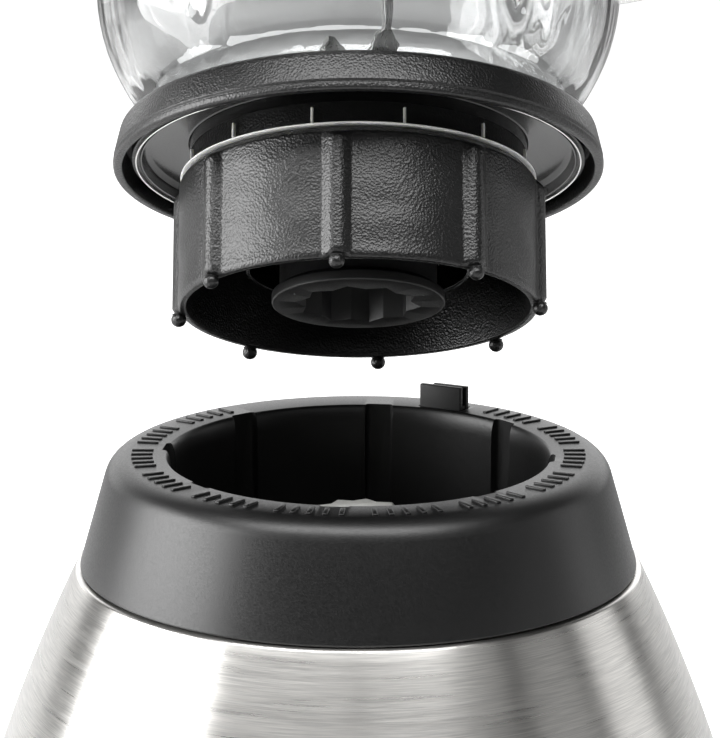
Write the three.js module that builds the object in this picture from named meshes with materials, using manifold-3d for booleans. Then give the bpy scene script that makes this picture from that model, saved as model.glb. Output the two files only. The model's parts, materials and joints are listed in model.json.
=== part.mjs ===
// A countertop blender, built as the assembly that comes apart on a bench.
//
// Millimetres, +Z up. The origin is the centre of the bottom cover's flat underside, on the drive
// axis; the front, with the buttons, faces -Y and the jar's handle points along +X.
// The jar assembly is drawn in its seated place and then swung up and back as one group, about a
// line behind the base, so it hovers tipped back over the base with its drive socket in view.
import * as THREE from "three";
import { mergeVertices } from "three/addons/utils/BufferGeometryUtils.js";
import Module from "manifold-3d";

const wasm = await Module();
wasm.setup();

// ---------------------------------------------------------------------------- driving dimensions

const GAP = 0.3; // clearance between neighbouring pieces
const FULL_TURN = 2 * Math.PI;

// The base, from the underside of its cover up to the ring that carries the jar.
const RING_TOP = 140;
const COLLAR_BOTTOM = 112.6;
const COLLAR_R = 68.6;
const SHOULDER_R = 62.4;
const WELL_R = 46.1;
const LIP_REACH = 1.4; // the well's mouth flares by this much
const LIP_DROP = 5.4; // over this height
const WELL_FLOOR = 99;
const WELL_WALL = 2.1;
const STEEL_BOTTOM = 46;
const STEEL_SHEET = 0.9;
const STEEL_LIP_R = 64.5;
const LOWER_R = 97.6;
const COVER_R = 90.4;
const COVER_THICK = 3;
const FOOT_HEIGHT = 4;
const FOOT_CIRCLE_R = 80;

// The jar's collar: a flange that rests on the ring, and a ribbed skirt that drops into the well.
const FLANGE_R = 60.8;
const FLANGE_EDGE = RING_TOP + 0.4;
const FLANGE_HEIGHT = 10.8;
const SKIRT_R = 44.3;
const SKIRT_WALL = 2.1;
const SKIRT_DEPTH = 35.3;
const COLLAR_NECK_R = 41.4;
const RIB_COUNT = 8;
const RIB_OFFSET = THREE.MathUtils.degToRad(-6.5); // from the front, towards +X
const RIB_REACH = 1.9;
const RIB_WIDTH = 4.8;
const GROOVE_REACH = 2.1;
const GROOVE_WIDTH = 7;
const LUG_COUNT = 12;

// The ten-point coupling between the motor and the blades.
const STAR_POINTS = 10;
const STAR_R = 14.3;
const STAR_ROOT_R = 11.9;
const STAR_TURN = THREE.MathUtils.degToRad(8);
const STAR_CLEARANCE = 1.2;
const STAR_BOTTOM = 112.6;
const STAR_TOP = 125;

const SHAFT_R = 4;
const SPINDLE_R = 3;
const BLADE_SHEET = 1.5;

// The glass jar.
const JAR_HEIGHT = 205;
const GLASS = 3.6;
const NECK_R = 39.2;

// The buttons stand in an arc on the front of the lower housing.
const BUTTON_COUNT = 6;
const BUTTON_PITCH = THREE.MathUtils.degToRad(10);
const BUTTON_WIDTH = 12;
const BUTTON_HEIGHT = 18;
const BUTTON_MIDDLE = 23.5;
const BUTTON_TRAVEL = 3;
const BUTTON_BACK_R = 91;
const SWITCH_HALF_HEIGHT = 11;
const BOARD_BOTTOM = 13;

// Where the lifted jar hovers: seated, then turned by this angle about a line along X.
const LIFT_ANGLE = THREE.MathUtils.degToRad(29);
const LIFT_AXIS_Y = 137;
const LIFT_AXIS_Z = 122;

// ------------------------------------------------------------------------------------- materials

const finish = (color, roughness, metalness = 0, extra = {}) =>
  new THREE.MeshStandardMaterial({ color, roughness, metalness, ...extra });

const blackPlastic = finish(0x232323, 0.45);
const texturedPlastic = finish(0x2a2a2a, 0.6);
const brushedSteel = finish(0xb9b9b7, 0.32, 1);
const bladeSteel = finish(0xc4c4c2, 0.25, 1);
const castMetal = finish(0xb5b5b0, 0.45, 0.8);
const motorSteel = finish(0x6d6f72, 0.5, 0.8);
const copperWire = finish(0xa5602c, 0.4, 0.9);
const bronze = finish(0xa27a3c, 0.45, 0.9);
const carbon = finish(0x2b2b2d, 0.8);
const rubber = finish(0x1b1b1b, 0.85);
const silicone = finish(0xe9e9e6, 0.5);
const circuitGreen = finish(0x2f5d3a, 0.6);
const glass = finish(0xf2f6f5, 0.05, 0, { transparent: true, opacity: 0.3 });

// ---------------------------------------------------------------------------------- solid making

// A closed geometry as a solid. A profile drawn the other way round comes out inside out, and is
// turned back here.
function solid(geometry) {
  const bare = geometry.clone();
  bare.deleteAttribute("normal");
  bare.deleteAttribute("uv");
  const merged = mergeVertices(bare, 1e-3);
  const corners = [...merged.index.array];
  const kept = [];
  for (let i = 0; i < corners.length; i += 3) {
    const [a, b, c] = corners.slice(i, i + 3);
    if (a !== b && b !== c && c !== a) kept.push(a, b, c);
  }
  const build = (triangles) =>
    new wasm.Manifold(
      new wasm.Mesh({
        numProp: 3,
        vertProperties: merged.attributes.position.array,
        triVerts: new Uint32Array(triangles),
      }),
    );
  const made = build(kept);
  return made.volume() > 0 ? made : build(kept.reverse());
}

const join = (...solids) => solids.reduce((a, b) => a.add(b));
const cut = (body, ...tools) => tools.reduce((a, b) => a.subtract(b), body);

// A named mesh from a solid.
function piece(name, body, material) {
  const mesh = body.getMesh();
  const geometry = new THREE.BufferGeometry()
    .setAttribute("position", new THREE.BufferAttribute(mesh.vertProperties, 3))
    .setIndex(new THREE.BufferAttribute(mesh.triVerts, 1));
  geometry.computeVertexNormals();
  const made = new THREE.Mesh(geometry, material);
  made.name = name;
  return made;
}

// A profile of [radius, height] pairs turned about Z.
function turned(profile, segments = 40) {
  const closed = [...profile, profile[0]].map(([r, z]) => new THREE.Vector2(r, z));
  return solid(new THREE.LatheGeometry(closed, segments).rotateX(Math.PI / 2));
}

// A tube or a solid disc about Z, between two heights.
function ring(inner, outer, bottom, top, segments = 24) {
  return turned([[inner, bottom], [outer, bottom], [outer, top], [inner, top]], segments);
}

function disc(radius, bottom, top, segments = 24) {
  const profile = [[0, bottom], [radius, bottom], [radius, top], [0, top]];
  const points = profile.map(([r, z]) => new THREE.Vector2(r, z));
  return solid(new THREE.LatheGeometry(points, segments).rotateX(Math.PI / 2));
}

// A box by its lowest and highest corners.
function block([x0, y0, z0], [x1, y1, z1]) {
  const box = new THREE.BoxGeometry(x1 - x0, y1 - y0, z1 - z0);
  return solid(box.translate((x0 + x1) / 2, (y0 + y1) / 2, (z0 + z1) / 2));
}

// A flat outline raised between two heights.
function raised(points, bottom, top) {
  const outline = new THREE.Shape(points.map(([x, y]) => new THREE.Vector2(x, y)));
  const body = new THREE.ExtrudeGeometry(outline, { depth: top - bottom, bevelEnabled: false });
  return solid(body.translate(0, 0, bottom));
}

// A skin through rings of points, closed with a fan at each end.
function skinned(rings) {
  const count = rings[0].length;
  const points = rings.flat();
  const triangles = [];
  for (let k = 0; k + 1 < rings.length; k++) {
    for (let i = 0; i < count; i++) {
      const here = k * count + i;
      const next = k * count + ((i + 1) % count);
      triangles.push(here, next, next + count, here, next + count, here + count);
    }
  }
  for (const [first, outward] of [[0, false], [(rings.length - 1) * count, true]]) {
    const middle = points.length;
    const end = points.slice(first, first + count);
    points.push(end.reduce((a, b) => a.clone().add(b)).divideScalar(count));
    for (let i = 0; i < count; i++) {
      const pair = [first + i, first + ((i + 1) % count)];
      triangles.push(middle, ...(outward ? pair : pair.reverse()));
    }
  }
  return solid(new THREE.BufferGeometry().setFromPoints(points).setIndex(triangles));
}

// An arc of wall about Z: radii, heights, the direction of its middle from the front, half its sweep.
function arcWall(inner, outer, bottom, top, middle, half, steps = 12) {
  const sweep = (r, from, to) =>
    Array.from({ length: steps + 1 }, (_, i) => {
      const a = from + ((to - from) * i) / steps;
      return [r * Math.sin(a), -r * Math.cos(a)];
    });
  const outline = [
    ...sweep(outer, middle - half, middle + half),
    ...sweep(inner, middle + half, middle - half),
  ];
  return raised(outline, bottom, top);
}

// A copy of a solid turned about Z, drawn at the front and turned towards +X.
const turnedTo = (body, angle) => body.rotate([0, 0, THREE.MathUtils.radToDeg(angle)]);

// The same solid at equal steps round Z.
const around = (body, count, offset = 0) =>
  join(
    ...Array.from({ length: count }, (_, k) => turnedTo(body, offset + (k * FULL_TURN) / count)),
  );

const placed = (body, x, y, z = 0) => body.translate([x, y, z]);

// Points on a quarter arc of a profile, between two angles.
function arc(centreR, centreZ, radius, from, to, steps = 4) {
  return Array.from({ length: steps + 1 }, (_, i) => {
    const a = THREE.MathUtils.degToRad(from + ((to - from) * i) / steps);
    return [centreR + radius * Math.cos(a), centreZ + radius * Math.sin(a)];
  });
}

// The outline of the ten-point coupling.
function starOutline(tip, root, scale = 1) {
  return Array.from({ length: 2 * STAR_POINTS }, (_, i) => {
    const a = (i * Math.PI) / STAR_POINTS + STAR_TURN;
    const r = scale * (i % 2 ? root : tip);
    return [r * Math.cos(a), r * Math.sin(a)];
  });
}

// ------------------------------------------------------------------------------ the base's shells

// The sheet flares as it goes down, a little less with each millimetre.
function steelHousing() {
  const top = COLLAR_BOTTOM - GAP;
  const flare = (depth) => COLLAR_R + 0.9 + 0.49 * depth - 0.00155 * depth ** 2;
  const depths = [0, 0.2, 0.4, 0.6, 0.8, 1].map((share) => share * (top - STEEL_BOTTOM));
  const outside = depths.map((depth) => [flare(depth), top - depth]);
  const inside = depths.map((depth) => [
    flare(depth) - STEEL_SHEET,
    top - Math.max(depth, STEEL_SHEET),
  ]);
  return turned([
    ...outside,
    ...inside.reverse(),
    [STEEL_LIP_R, top - STEEL_SHEET],
    [STEEL_LIP_R, top],
  ]);
}

// The tab on the ring stands in this slot, back and to the right.
const KEY_ANGLE = THREE.MathUtils.degToRad(180 - 26);
const KEY_R = 50.6;
const KEY_LENGTH = 12;
const KEY_WIDTH = 4.6;

const keySlot = (spare) =>
  turnedTo(
    block(
      [-KEY_LENGTH / 2 - spare, -KEY_R - KEY_WIDTH / 2 - spare, RING_TOP - 8],
      [KEY_LENGTH / 2 + spare, -KEY_R + KEY_WIDTH / 2 + spare, RING_TOP + 5.6],
    ),
    KEY_ANGLE,
  );

function baseCollar() {
  const shell = turned(
    [
      [COLLAR_R, COLLAR_BOTTOM],
      ...arc(SHOULDER_R - 6, RING_TOP - 6, 6, 0, 90, 3),
      ...arc(WELL_R + LIP_REACH, 0, LIP_REACH, 90, 180, 4).map(([r, z]) => [
        r,
        RING_TOP - LIP_DROP + (z / LIP_REACH) * LIP_DROP,
      ]),
      [WELL_R, WELL_FLOOR],
      [13, WELL_FLOOR],
      [12.4, WELL_FLOOR + 9],
      [5.9, WELL_FLOOR + 9],
      [5.9, WELL_FLOOR - 3.5],
      [WELL_R + GROOVE_REACH + WELL_WALL, WELL_FLOOR - 3.5],
      [WELL_R + GROOVE_REACH + WELL_WALL, RING_TOP - 4],
      [56, RING_TOP - 3.2],
      [SHOULDER_R - 2.6, RING_TOP - 7],
      [COLLAR_R - 3, COLLAR_BOTTOM],
    ],
    36,
  );
  const groove = block(
    [-GROOVE_WIDTH / 2, -WELL_R - GROOVE_REACH, WELL_FLOOR + 2],
    [GROOVE_WIDTH / 2, -WELL_R + 8, RING_TOP + 2],
  );
  return cut(shell, around(groove, RIB_COUNT, RIB_OFFSET), keySlot(GAP));
}

// Two thin plates joined by a web: it keys into the hollow underside of the jar's flange.
function jarKey() {
  const between = (y0, y1, x0, x1) =>
    turnedTo(
      block([x0, -KEY_R + y0, RING_TOP + 0.4], [x1, -KEY_R + y1, RING_TOP + 6]),
      KEY_ANGLE,
    );
  const slots = join(between(-0.9, 0.9, -6, -1.5), between(-0.9, 0.9, 1.5, 6));
  return cut(keySlot(0), slots);
}

const BOSS_ANGLES = [45, 135, 225, 315].map(THREE.MathUtils.degToRad);
const onCircle = (r, angle) => [r * Math.sin(angle), -r * Math.cos(angle)];
const PANEL_HALF = (BUTTON_COUNT / 2) * BUTTON_PITCH + THREE.MathUtils.degToRad(2.5);
const PANEL_BOTTOM = BUTTON_MIDDLE - 15;
const PANEL_TOP = BUTTON_MIDDLE + 15;

function lowerHousing() {
  const shell = turned(
    [
      [LOWER_R - 2.6, STEEL_BOTTOM - 0.4],
      [LOWER_R, STEEL_BOTTOM - 6],
      [LOWER_R, 5],
      [LOWER_R - 3.6, 1.2],
      [COVER_R + 0.5, 1.2],
      [LOWER_R - 3, 5.6],
      [LOWER_R - 3, STEEL_BOTTOM - 7],
      [LOWER_R - 5, STEEL_BOTTOM - 0.4],
    ],
    40,
  );
  const bosses = BOSS_ANGLES.map((angle) =>
    join(
      placed(ring(2, 5, COVER_THICK + GAP, 24, 12), ...onCircle(FOOT_CIRCLE_R, angle)),
      turnedTo(block([-1.2, -LOWER_R + 2, 8], [1.2, -FOOT_CIRCLE_R - 4.5, 24]), angle),
    ),
  );
  const window = arcWall(
    LOWER_R - 8, LOWER_R + 3, PANEL_BOTTOM - GAP, PANEL_TOP + GAP, 0, PANEL_HALF + 0.004, 12,
  );
  const inlet = block([-8.3, LOWER_R - 8, 12], [8.3, LOWER_R + 4, 28.6]);
  return cut(join(shell, ...bosses), window, inlet);
}

function bottomCover() {
  const plate = disc(COVER_R, 0, COVER_THICK, 32);
  const slot = block([-1.6, -54, -1], [1.6, -30, COVER_THICK + 1]);
  const heads = BOSS_ANGLES.map((angle) =>
    placed(
      join(disc(2.1, -1, COVER_THICK + 1, 12), disc(4.3, -1, 1.6, 12)),
      ...onCircle(FOOT_CIRCLE_R, angle),
    ),
  );
  const foot = COVER_THICK - 1;
  const posts = MOTOR_POSTS.map(([x, y]) => placed(disc(5.5, foot, 19.7, 12), x, y));
  const boardFeet = [-28, 28].map((x) =>
    block([x - 3, -69, foot], [x + 3, -62.5, BOARD_BOTTOM - GAP]),
  );
  const switchSill = arcWall(79, 86, foot, BUTTON_MIDDLE - SWITCH_HALF_HEIGHT - GAP, 0, 0.4, 6);
  const slotted = cut(plate, around(slot, 8, Math.PI / 8), ...heads);
  return join(slotted, ...posts, ...boardFeet, switchSill);
}

function foot(angle) {
  const profile = [[0, -FOOT_HEIGHT], [8, -FOOT_HEIGHT], [9.2, -GAP], [0, -GAP]];
  const points = profile.map(([r, z]) => new THREE.Vector2(r, z));
  const pad = solid(new THREE.LatheGeometry(points, 20).rotateX(Math.PI / 2));
  return placed(pad, ...onCircle(FOOT_CIRCLE_R, angle));
}

function coverScrew(angle) {
  const screw = join(disc(4, 0.2, 1.3, 12), disc(1.7, 1, 16, 12));
  return placed(screw, ...onCircle(FOOT_CIRCLE_R, angle));
}

// The lead leaves at the back through this moulded gland.
function cordInlet() {
  const body = block([-8, LOWER_R - 6.2, 12.3], [8, LOWER_R + 1.2, 28.3]);
  const spigot = solid(new THREE.CylinderGeometry(5, 6.2, 7, 24)).translate([0, LOWER_R + 4.2, 20.3]);
  const bore = solid(new THREE.CylinderGeometry(3.4, 3.4, 30, 20)).translate([0, LOWER_R, 20.3]);
  return cut(join(body, spigot), bore);
}

// -------------------------------------------------------------------------------- the control side

const buttonAngle = (k) => (k - (BUTTON_COUNT - 1) / 2) * BUTTON_PITCH;

function controlPanel() {
  const plate = arcWall(LOWER_R - 3, LOWER_R + 1.4, PANEL_BOTTOM, PANEL_TOP, 0, PANEL_HALF, 12);
  const windows = Array.from({ length: BUTTON_COUNT }, (_, k) =>
    turnedTo(
      block(
        [-BUTTON_WIDTH / 2 - GAP, -LOWER_R - 5, BUTTON_MIDDLE - BUTTON_HEIGHT / 2 - GAP],
        [BUTTON_WIDTH / 2 + GAP, -LOWER_R + 8, BUTTON_MIDDLE + BUTTON_HEIGHT / 2 + GAP],
      ),
      buttonAngle(k),
    ),
  );
  return cut(plate, ...windows);
}

// A key with a softened face, and a flange behind that keeps it in the panel.
function button(k) {
  const w = BUTTON_WIDTH / 2;
  const h = BUTTON_HEIGHT / 2;
  const corners = [
    [-w + 1, -h], [w - 1, -h], [w, -h + 1], [w, h - 1],
    [w - 1, h], [-w + 1, h], [-w, h - 1], [-w, 1 - h],
  ];
  const outline = new THREE.Shape(corners.map(([x, y]) => new THREE.Vector2(x, y)));
  const key = new THREE.ExtrudeGeometry(outline, {
    depth: 8, bevelThickness: 1, bevelSize: 1, bevelOffset: -1, bevelSegments: 2,
  });
  key.rotateX(Math.PI / 2).translate(0, -BUTTON_BACK_R - 1, BUTTON_MIDDLE);
  const flange = block(
    [-w - 1, -LOWER_R + 3.8, BUTTON_MIDDLE - h - 1],
    [w + 1, -LOWER_R + 5.4, BUTTON_MIDDLE + h + 1],
  );
  return turnedTo(join(solid(key), flange), buttonAngle(k));
}

// Its face stands clear of the keys when they are pressed right in.
const switchBlock = () =>
  arcWall(
    77,
    BUTTON_BACK_R - BUTTON_TRAVEL - 0.8,
    BUTTON_MIDDLE - SWITCH_HALF_HEIGHT,
    BUTTON_MIDDLE + SWITCH_HALF_HEIGHT,
    0,
    PANEL_HALF - 0.06,
    16,
  );

const circuitBoard = () => block([-34, -66.5, BOARD_BOTTOM], [34, -64.9, 37]);

// --------------------------------------------------------------------------------------- the motor

const MOTOR_POSTS = [[-38, -38], [38, -38], [38, 38], [-38, 38]];
const STATOR_BOTTOM = 48;
const STATOR_TOP = 76;
const COIL_HALF = THREE.MathUtils.degToRad(48);

const motorShaft = () => disc(SHAFT_R, 5, STAR_TOP - 3, 18);

function armatureCore() {
  const stack = ring(SHAFT_R + GAP, 18.8, STATOR_BOTTOM, STATOR_TOP, 24);
  const slot = block([-1, -20, STATOR_BOTTOM - 1], [1, -14.5, STATOR_TOP + 1]);
  return cut(stack, around(slot, 8, Math.PI / 8));
}

const armatureWinding = (bottom, top) => ring(SHAFT_R + GAP, 16.4, bottom, top, 18);
const commutator = () => ring(SHAFT_R + GAP, 9.6, 28.5, 38, 18);

function coolingFan() {
  const hub = ring(SHAFT_R + GAP, 9, 6, 15, 18);
  const plate = ring(8.5, 35, 13.4, 15, 24);
  const vane = block([-0.7, -34, 6.5], [0.7, -8.5, 14]);
  return join(hub, plate, around(vane, 8));
}

// The cast star on top of the shaft. Its top is drawn in, so the socket finds it.
function driveStar() {
  const at = (z, scale) =>
    starOutline(STAR_R, STAR_ROOT_R, scale).map(([x, y]) => new THREE.Vector3(x, y, z));
  const star = skinned([
    at(STAR_BOTTOM, 1),
    at(STAR_TOP - 3.4, 1),
    at(STAR_TOP, 0.84),
  ]);
  return cut(star, disc(SHAFT_R + GAP, STAR_BOTTOM - 1, STAR_TOP - 2.7, 24));
}

function statorCore() {
  const half = 32;
  const corner = 9;
  const outline = [
    [-half + corner, -half], [half - corner, -half], [half, -half + corner], [half, half - corner],
    [half - corner, half], [-half + corner, half], [-half, half - corner], [-half, corner - half],
  ];
  const stack = raised(outline, STATOR_BOTTOM, STATOR_TOP);
  const below = STATOR_BOTTOM - 1;
  const above = STATOR_TOP + 1;
  const slots = [-1, 1].map((side) =>
    arcWall(22.2, 29.4, below, above, (side * Math.PI) / 2, COIL_HALF + 0.03, 10),
  );
  const bolts = MOTOR_BOLTS.map(([x, y]) => placed(disc(BOLT_HOLE_R, below, above, 12), x, y));
  return cut(stack, disc(19.8, below, above, 24), ...slots, ...bolts);
}

const fieldCoil = (side) =>
  arcWall(22.6, 29, STATOR_BOTTOM - 6, STATOR_TOP + 6, (side * Math.PI) / 2, COIL_HALF, 10);

const MOTOR_BOLTS = [[-25, -25], [25, 25]];
const BOLT_HOLE_R = 2.4;
const BOLT_LEG_R = 4.5;
const BRUSH_TURNS = [1, -3].map((eighths) => (eighths * Math.PI) / 4);

function lowerBracket() {
  const arms = join(
    ...[45, -45].map((angle) =>
      turnedTo(block([-8, -61, 20], [8, 61, 23]), THREE.MathUtils.degToRad(angle)),
    ),
  );
  const boss = ring(7.4, 12, 18, 26, 24);
  const leg = ring(BOLT_HOLE_R, BOLT_LEG_R, 22, STATOR_BOTTOM - GAP, 12);
  const legs = MOTOR_BOLTS.map(([x, y]) => placed(leg, x, y));
  const sills = BRUSH_TURNS.map((turn) => turnedTo(block([-4, -32, 22], [4, -15, 28.4 - GAP]), turn));
  const bolts = MOTOR_BOLTS.map(([x, y]) => placed(disc(BOLT_HOLE_R, 19, 24, 12), x, y));
  return cut(join(arms, boss, ...legs, ...sills), disc(7.4, 17, 27, 24), ...bolts);
}

function upperBracket() {
  const bar = block([-33, -8, 86], [33, 8, 89]);
  const cross = turnedTo(block([-8, -36, 86], [8, 36, 89]), -Math.PI / 4);
  const leg = ring(BOLT_HOLE_R, BOLT_LEG_R, STATOR_TOP + GAP, 87, 12);
  const legs = MOTOR_BOLTS.map(([x, y]) => placed(leg, x, y));
  const bolts = MOTOR_BOLTS.map(([x, y]) => placed(disc(BOLT_HOLE_R, 80, 90, 12), x, y));
  return cut(join(bar, cross, ...legs), disc(7.4, 80, 95, 24), ...bolts);
}

const lowerBushing = () => ring(SHAFT_R + GAP, 7.1, 18.5, 25.5, 18);
const upperBushing = () => ring(SHAFT_R + GAP, 5.6, WELL_FLOOR - 3, WELL_FLOOR + 8.4, 18);

function motorBolt([x, y]) {
  const stem = disc(2, 16.5, 89.5, 12);
  const head = disc(3.6, 89.3, 92, 12);
  const nut = disc(3.6, 17, 19.7, 6);
  return placed(join(stem, head, nut), x, y);
}

// Each brush runs on the commutator in a square brass holder.
function brushHolder(turn) {
  const outside = block([-4.6, -33, 28.4], [4.6, -13, 38]);
  const inside = block([-3.3, -34, 30], [3.3, -12, 36.6]);
  return turnedTo(cut(outside, inside), turn);
}

const brush = (turn) => turnedTo(block([-3, -30, 30.3], [3, -10, 36.3]), turn);

// ------------------------------------------------------------------- the jar assembly, as seated

// Heights in the jar are counted from the flange's lower edge.
const jarZ = (height) => FLANGE_EDGE + height;

function jarCollar() {
  const r = FLANGE_R;
  const flange = turned(
    [
      [r - 1.4, jarZ(0)],
      [r, jarZ(1.2)],
      [r - 1.6, jarZ(8)],
      ...arc(r - 4.6, jarZ(FLANGE_HEIGHT - 3), 3, 20, 90, 2),
      [NECK_R + 0.5, jarZ(FLANGE_HEIGHT)],
      [NECK_R + 0.5, jarZ(-11.1)],
      [30, jarZ(-11.1)],
      [30, jarZ(-13.8)],
      [SKIRT_R - SKIRT_WALL, jarZ(-13.8)],
      [SKIRT_R - SKIRT_WALL, jarZ(-SKIRT_DEPTH)],
      [SKIRT_R - 0.6, jarZ(-SKIRT_DEPTH)],
      [SKIRT_R, jarZ(-4.4)],
      [SKIRT_R - 1.2, jarZ(-2.7)],
      [COLLAR_NECK_R, jarZ(-2.7)],
      [COLLAR_NECK_R, jarZ(8)],
      [54.2, jarZ(7)],
      [54.2, jarZ(2.5)],
      [56.2, jarZ(2.5)],
      [56.2, jarZ(7.6)],
      [r - 2.4, jarZ(7.6)],
    ],
    36,
  );
  return join(flange, around(skirtRib(), RIB_COUNT, RIB_OFFSET));
}

// A rounded rib down the skirt, with a small pip under its foot.
function skirtRib() {
  const top = jarZ(-5);
  const bottom = jarZ(-SKIRT_DEPTH + 0.4);
  const root = 0.8; // how deep the rib is let into the wall
  const section = (z, reach) =>
    Array.from({ length: 6 }, (_, i) => {
      const a = (i * Math.PI) / 5;
      const x = (RIB_WIDTH / 2) * Math.cos(a);
      const y = -SKIRT_R + root - (reach + root) * Math.sin(a);
      return new THREE.Vector3(x, y, z);
    });
  const rib = skinned([
    section(bottom, RIB_REACH),
    section(top - 2.5, RIB_REACH),
    section(top, 0.3),
  ]);
  const pip = disc(1.5, jarZ(-SKIRT_DEPTH - 2.4), jarZ(-SKIRT_DEPTH + 1), 6);
  return join(rib, placed(pip, 0, -SKIRT_R - 0.2));
}

const collarRing = () => ring(54.7, 55.7, jarZ(1.3), jarZ(2.2), 36);

// The pale seal in the groove over the skirt, with small uprights that centre it.
function neckSeal() {
  const inner = COLLAR_NECK_R + GAP;
  const band = ring(inner, SKIRT_R - 0.2, jarZ(-2.4), jarZ(-1.7), 36);
  const upright = block([-0.4, -inner - 1, jarZ(-2)], [0.4, -inner - 0.1, jarZ(2.6)]);
  return join(band, around(upright, LUG_COUNT, Math.PI / LUG_COUNT));
}

const jarGasket = () => ring(35.4, NECK_R, jarZ(-7.5), jarZ(-5.7), 32);

function bladeHolder() {
  return turned(
    [
      [6.9, jarZ(-9.6)],
      [26.6, jarZ(-10.8)],
      [26.6, jarZ(-25.5)],
      [28, jarZ(-25.5)],
      [28, jarZ(-10.8)],
      [NECK_R, jarZ(-10.8)],
      [NECK_R, jarZ(-7.8)],
      [24, jarZ(-7.8)],
      [15, jarZ(-4)],
      [12, jarZ(5)],
      [6.9, jarZ(6)],
    ],
    28,
  );
}

const bladeBushing = () => ring(SPINDLE_R + GAP, 6.6, jarZ(-9), jarZ(4.5), 18);
const spindleSeal = () => ring(SPINDLE_R + GAP, 6.6, jarZ(4.8), jarZ(6.3), 18);

// The glass body: a bulb above the neck, a waist, and a mouth that opens to a lip.
const GLASS_OUTSIDE = [
  [-5.4, NECK_R], [10.8, NECK_R], [12, 43], [17.9, 54], [25, 59.6], [36.2, 64.2], [50, 65.8],
  [72, 63.4], [92, 58.6], [112, 57], [135, 57.8], [160, 60.4], [JAR_HEIGHT - 18, 64.4],
  [JAR_HEIGHT, 67.4],
];
const SPOUT_ANGLE = Math.PI;
const SPOUT_REACH = 9;

const bump = (x, width) => Math.exp(-((x / width) ** 2));
const turnFrom = (a, b) => Math.atan2(Math.sin(a - b), Math.cos(a - b));

// How far the lip is drawn out at this height and direction.
function spout(height, angle) {
  const rise = THREE.MathUtils.smoothstep(height, JAR_HEIGHT - 45, JAR_HEIGHT);
  return SPOUT_REACH * rise * bump(turnFrom(angle, SPOUT_ANGLE), 0.26);
}

// Four flutes stand into the jar and stir what turns in it.
const FLUTE_REACH = 3.4;
const FLUTE_ANGLES = [45, 135, 225, 315].map(THREE.MathUtils.degToRad);

function flute(height, angle) {
  const { smoothstep } = THREE.MathUtils;
  const share = smoothstep(height, 18, 34) * (1 - smoothstep(height, 130, 160));
  const nearest = Math.max(...FLUTE_ANGLES.map((middle) => bump(turnFrom(angle, middle), 0.13)));
  return FLUTE_REACH * share * nearest;
}

function jarGlass() {
  const count = 32;
  const wall = (height, r, inset) =>
    Array.from({ length: count }, (_, i) => {
      const a = (i * FULL_TURN) / count;
      const reach = r - inset + spout(height, a) - (inset ? flute(height, a) : 0);
      return new THREE.Vector3(reach * Math.cos(a), reach * Math.sin(a), jarZ(height));
    });
  const outside = skinned(GLASS_OUTSIDE.map(([z, r]) => wall(z, r, 0)));
  const bore = [[-7, NECK_R], [13.5, NECK_R], [16.5, 45.5]];
  const inside = skinned([
    ...bore.map(([z, r]) => wall(z, r, GLASS)),
    ...GLASS_OUTSIDE.filter(([z]) => z > 20).map(([z, r]) => wall(z, r, GLASS)),
    wall(JAR_HEIGHT + 2, 67.6, GLASS),
  ]);
  return cut(join(outside, jarHandle()), inside);
}

// A glass loop from the bulb to just under the lip.
function jarHandle() {
  const path = new THREE.CatmullRomCurve3([
    new THREE.Vector3(60, 0, jarZ(50)),
    new THREE.Vector3(78, 0, jarZ(54)),
    new THREE.Vector3(97, 0, jarZ(68)),
    new THREE.Vector3(103, 0, jarZ(100)),
    new THREE.Vector3(102, 0, jarZ(138)),
    new THREE.Vector3(92, 0, jarZ(165)),
    new THREE.Vector3(61, 0, jarZ(174)),
  ]);
  const oval = new THREE.Shape(
    Array.from({ length: 8 }, (_, i) => {
      const a = (i * Math.PI) / 4;
      return new THREE.Vector2(4.6 * Math.cos(a), 9.5 * Math.sin(a));
    }),
  );
  const loop = { extrudePath: path, steps: 15, bevelEnabled: false };
  return solid(new THREE.ExtrudeGeometry(oval, loop));
}

// ------------------------------------------------------------------------------ blades and socket

const bladeSpindle = () => disc(SPINDLE_R, jarZ(-13.8), jarZ(15.5), 18);

// One arm of a stamped blade: a strip through points of [reach, height], narrowed at its tip.
function bladeArm(points, level, angle, width) {
  const ends = points.map(([x, z], i) => {
    const [px, pz] = points[Math.max(i - 1, 0)];
    const [nx, nz] = points[Math.min(i + 1, points.length - 1)];
    const length = Math.hypot(nx - px, nz - pz);
    return { x, z, nx: -(nz - pz) / length, nz: (nx - px) / length };
  });
  const section = ({ x, z, nx, nz }, i) => {
    const taper = i === ends.length - 1 ? 0.35 : 1;
    const half = (width / 2) * taper;
    return [
      new THREE.Vector3(x, -half, z),
      new THREE.Vector3(x, half, z),
      new THREE.Vector3(x + nx * BLADE_SHEET, half, z + nz * BLADE_SHEET),
      new THREE.Vector3(x + nx * BLADE_SHEET, -half, z + nz * BLADE_SHEET),
    ];
  };
  return turnedTo(skinned(ends.map(section)).translate([0, 0, level]), angle);
}

// Two opposite arms on one stamped strip, joined round the spindle.
function bladeStrip(points, level, angle, width) {
  const arms = [0, Math.PI].map((half) => bladeArm(points, level, angle + half, width));
  const hub = ring(SPINDLE_R + GAP, 6, level, level + BLADE_SHEET, 24);
  return join(hub, cut(join(...arms), disc(5, level - 3, level + 5, 24)));
}

// A hexagonal cap nut, closed over the end of the spindle.
function bladeNut() {
  const profile = [[0.8, 12.2], [6, 12.2], [6, 16.6], [3.6, 19], [0.8, 19]];
  const hexagon = turned(profile.map(([r, height]) => [r, jarZ(height)]), 6);
  return cut(hexagon, disc(SPINDLE_R + GAP, jarZ(12), jarZ(15.8), 24));
}

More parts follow.
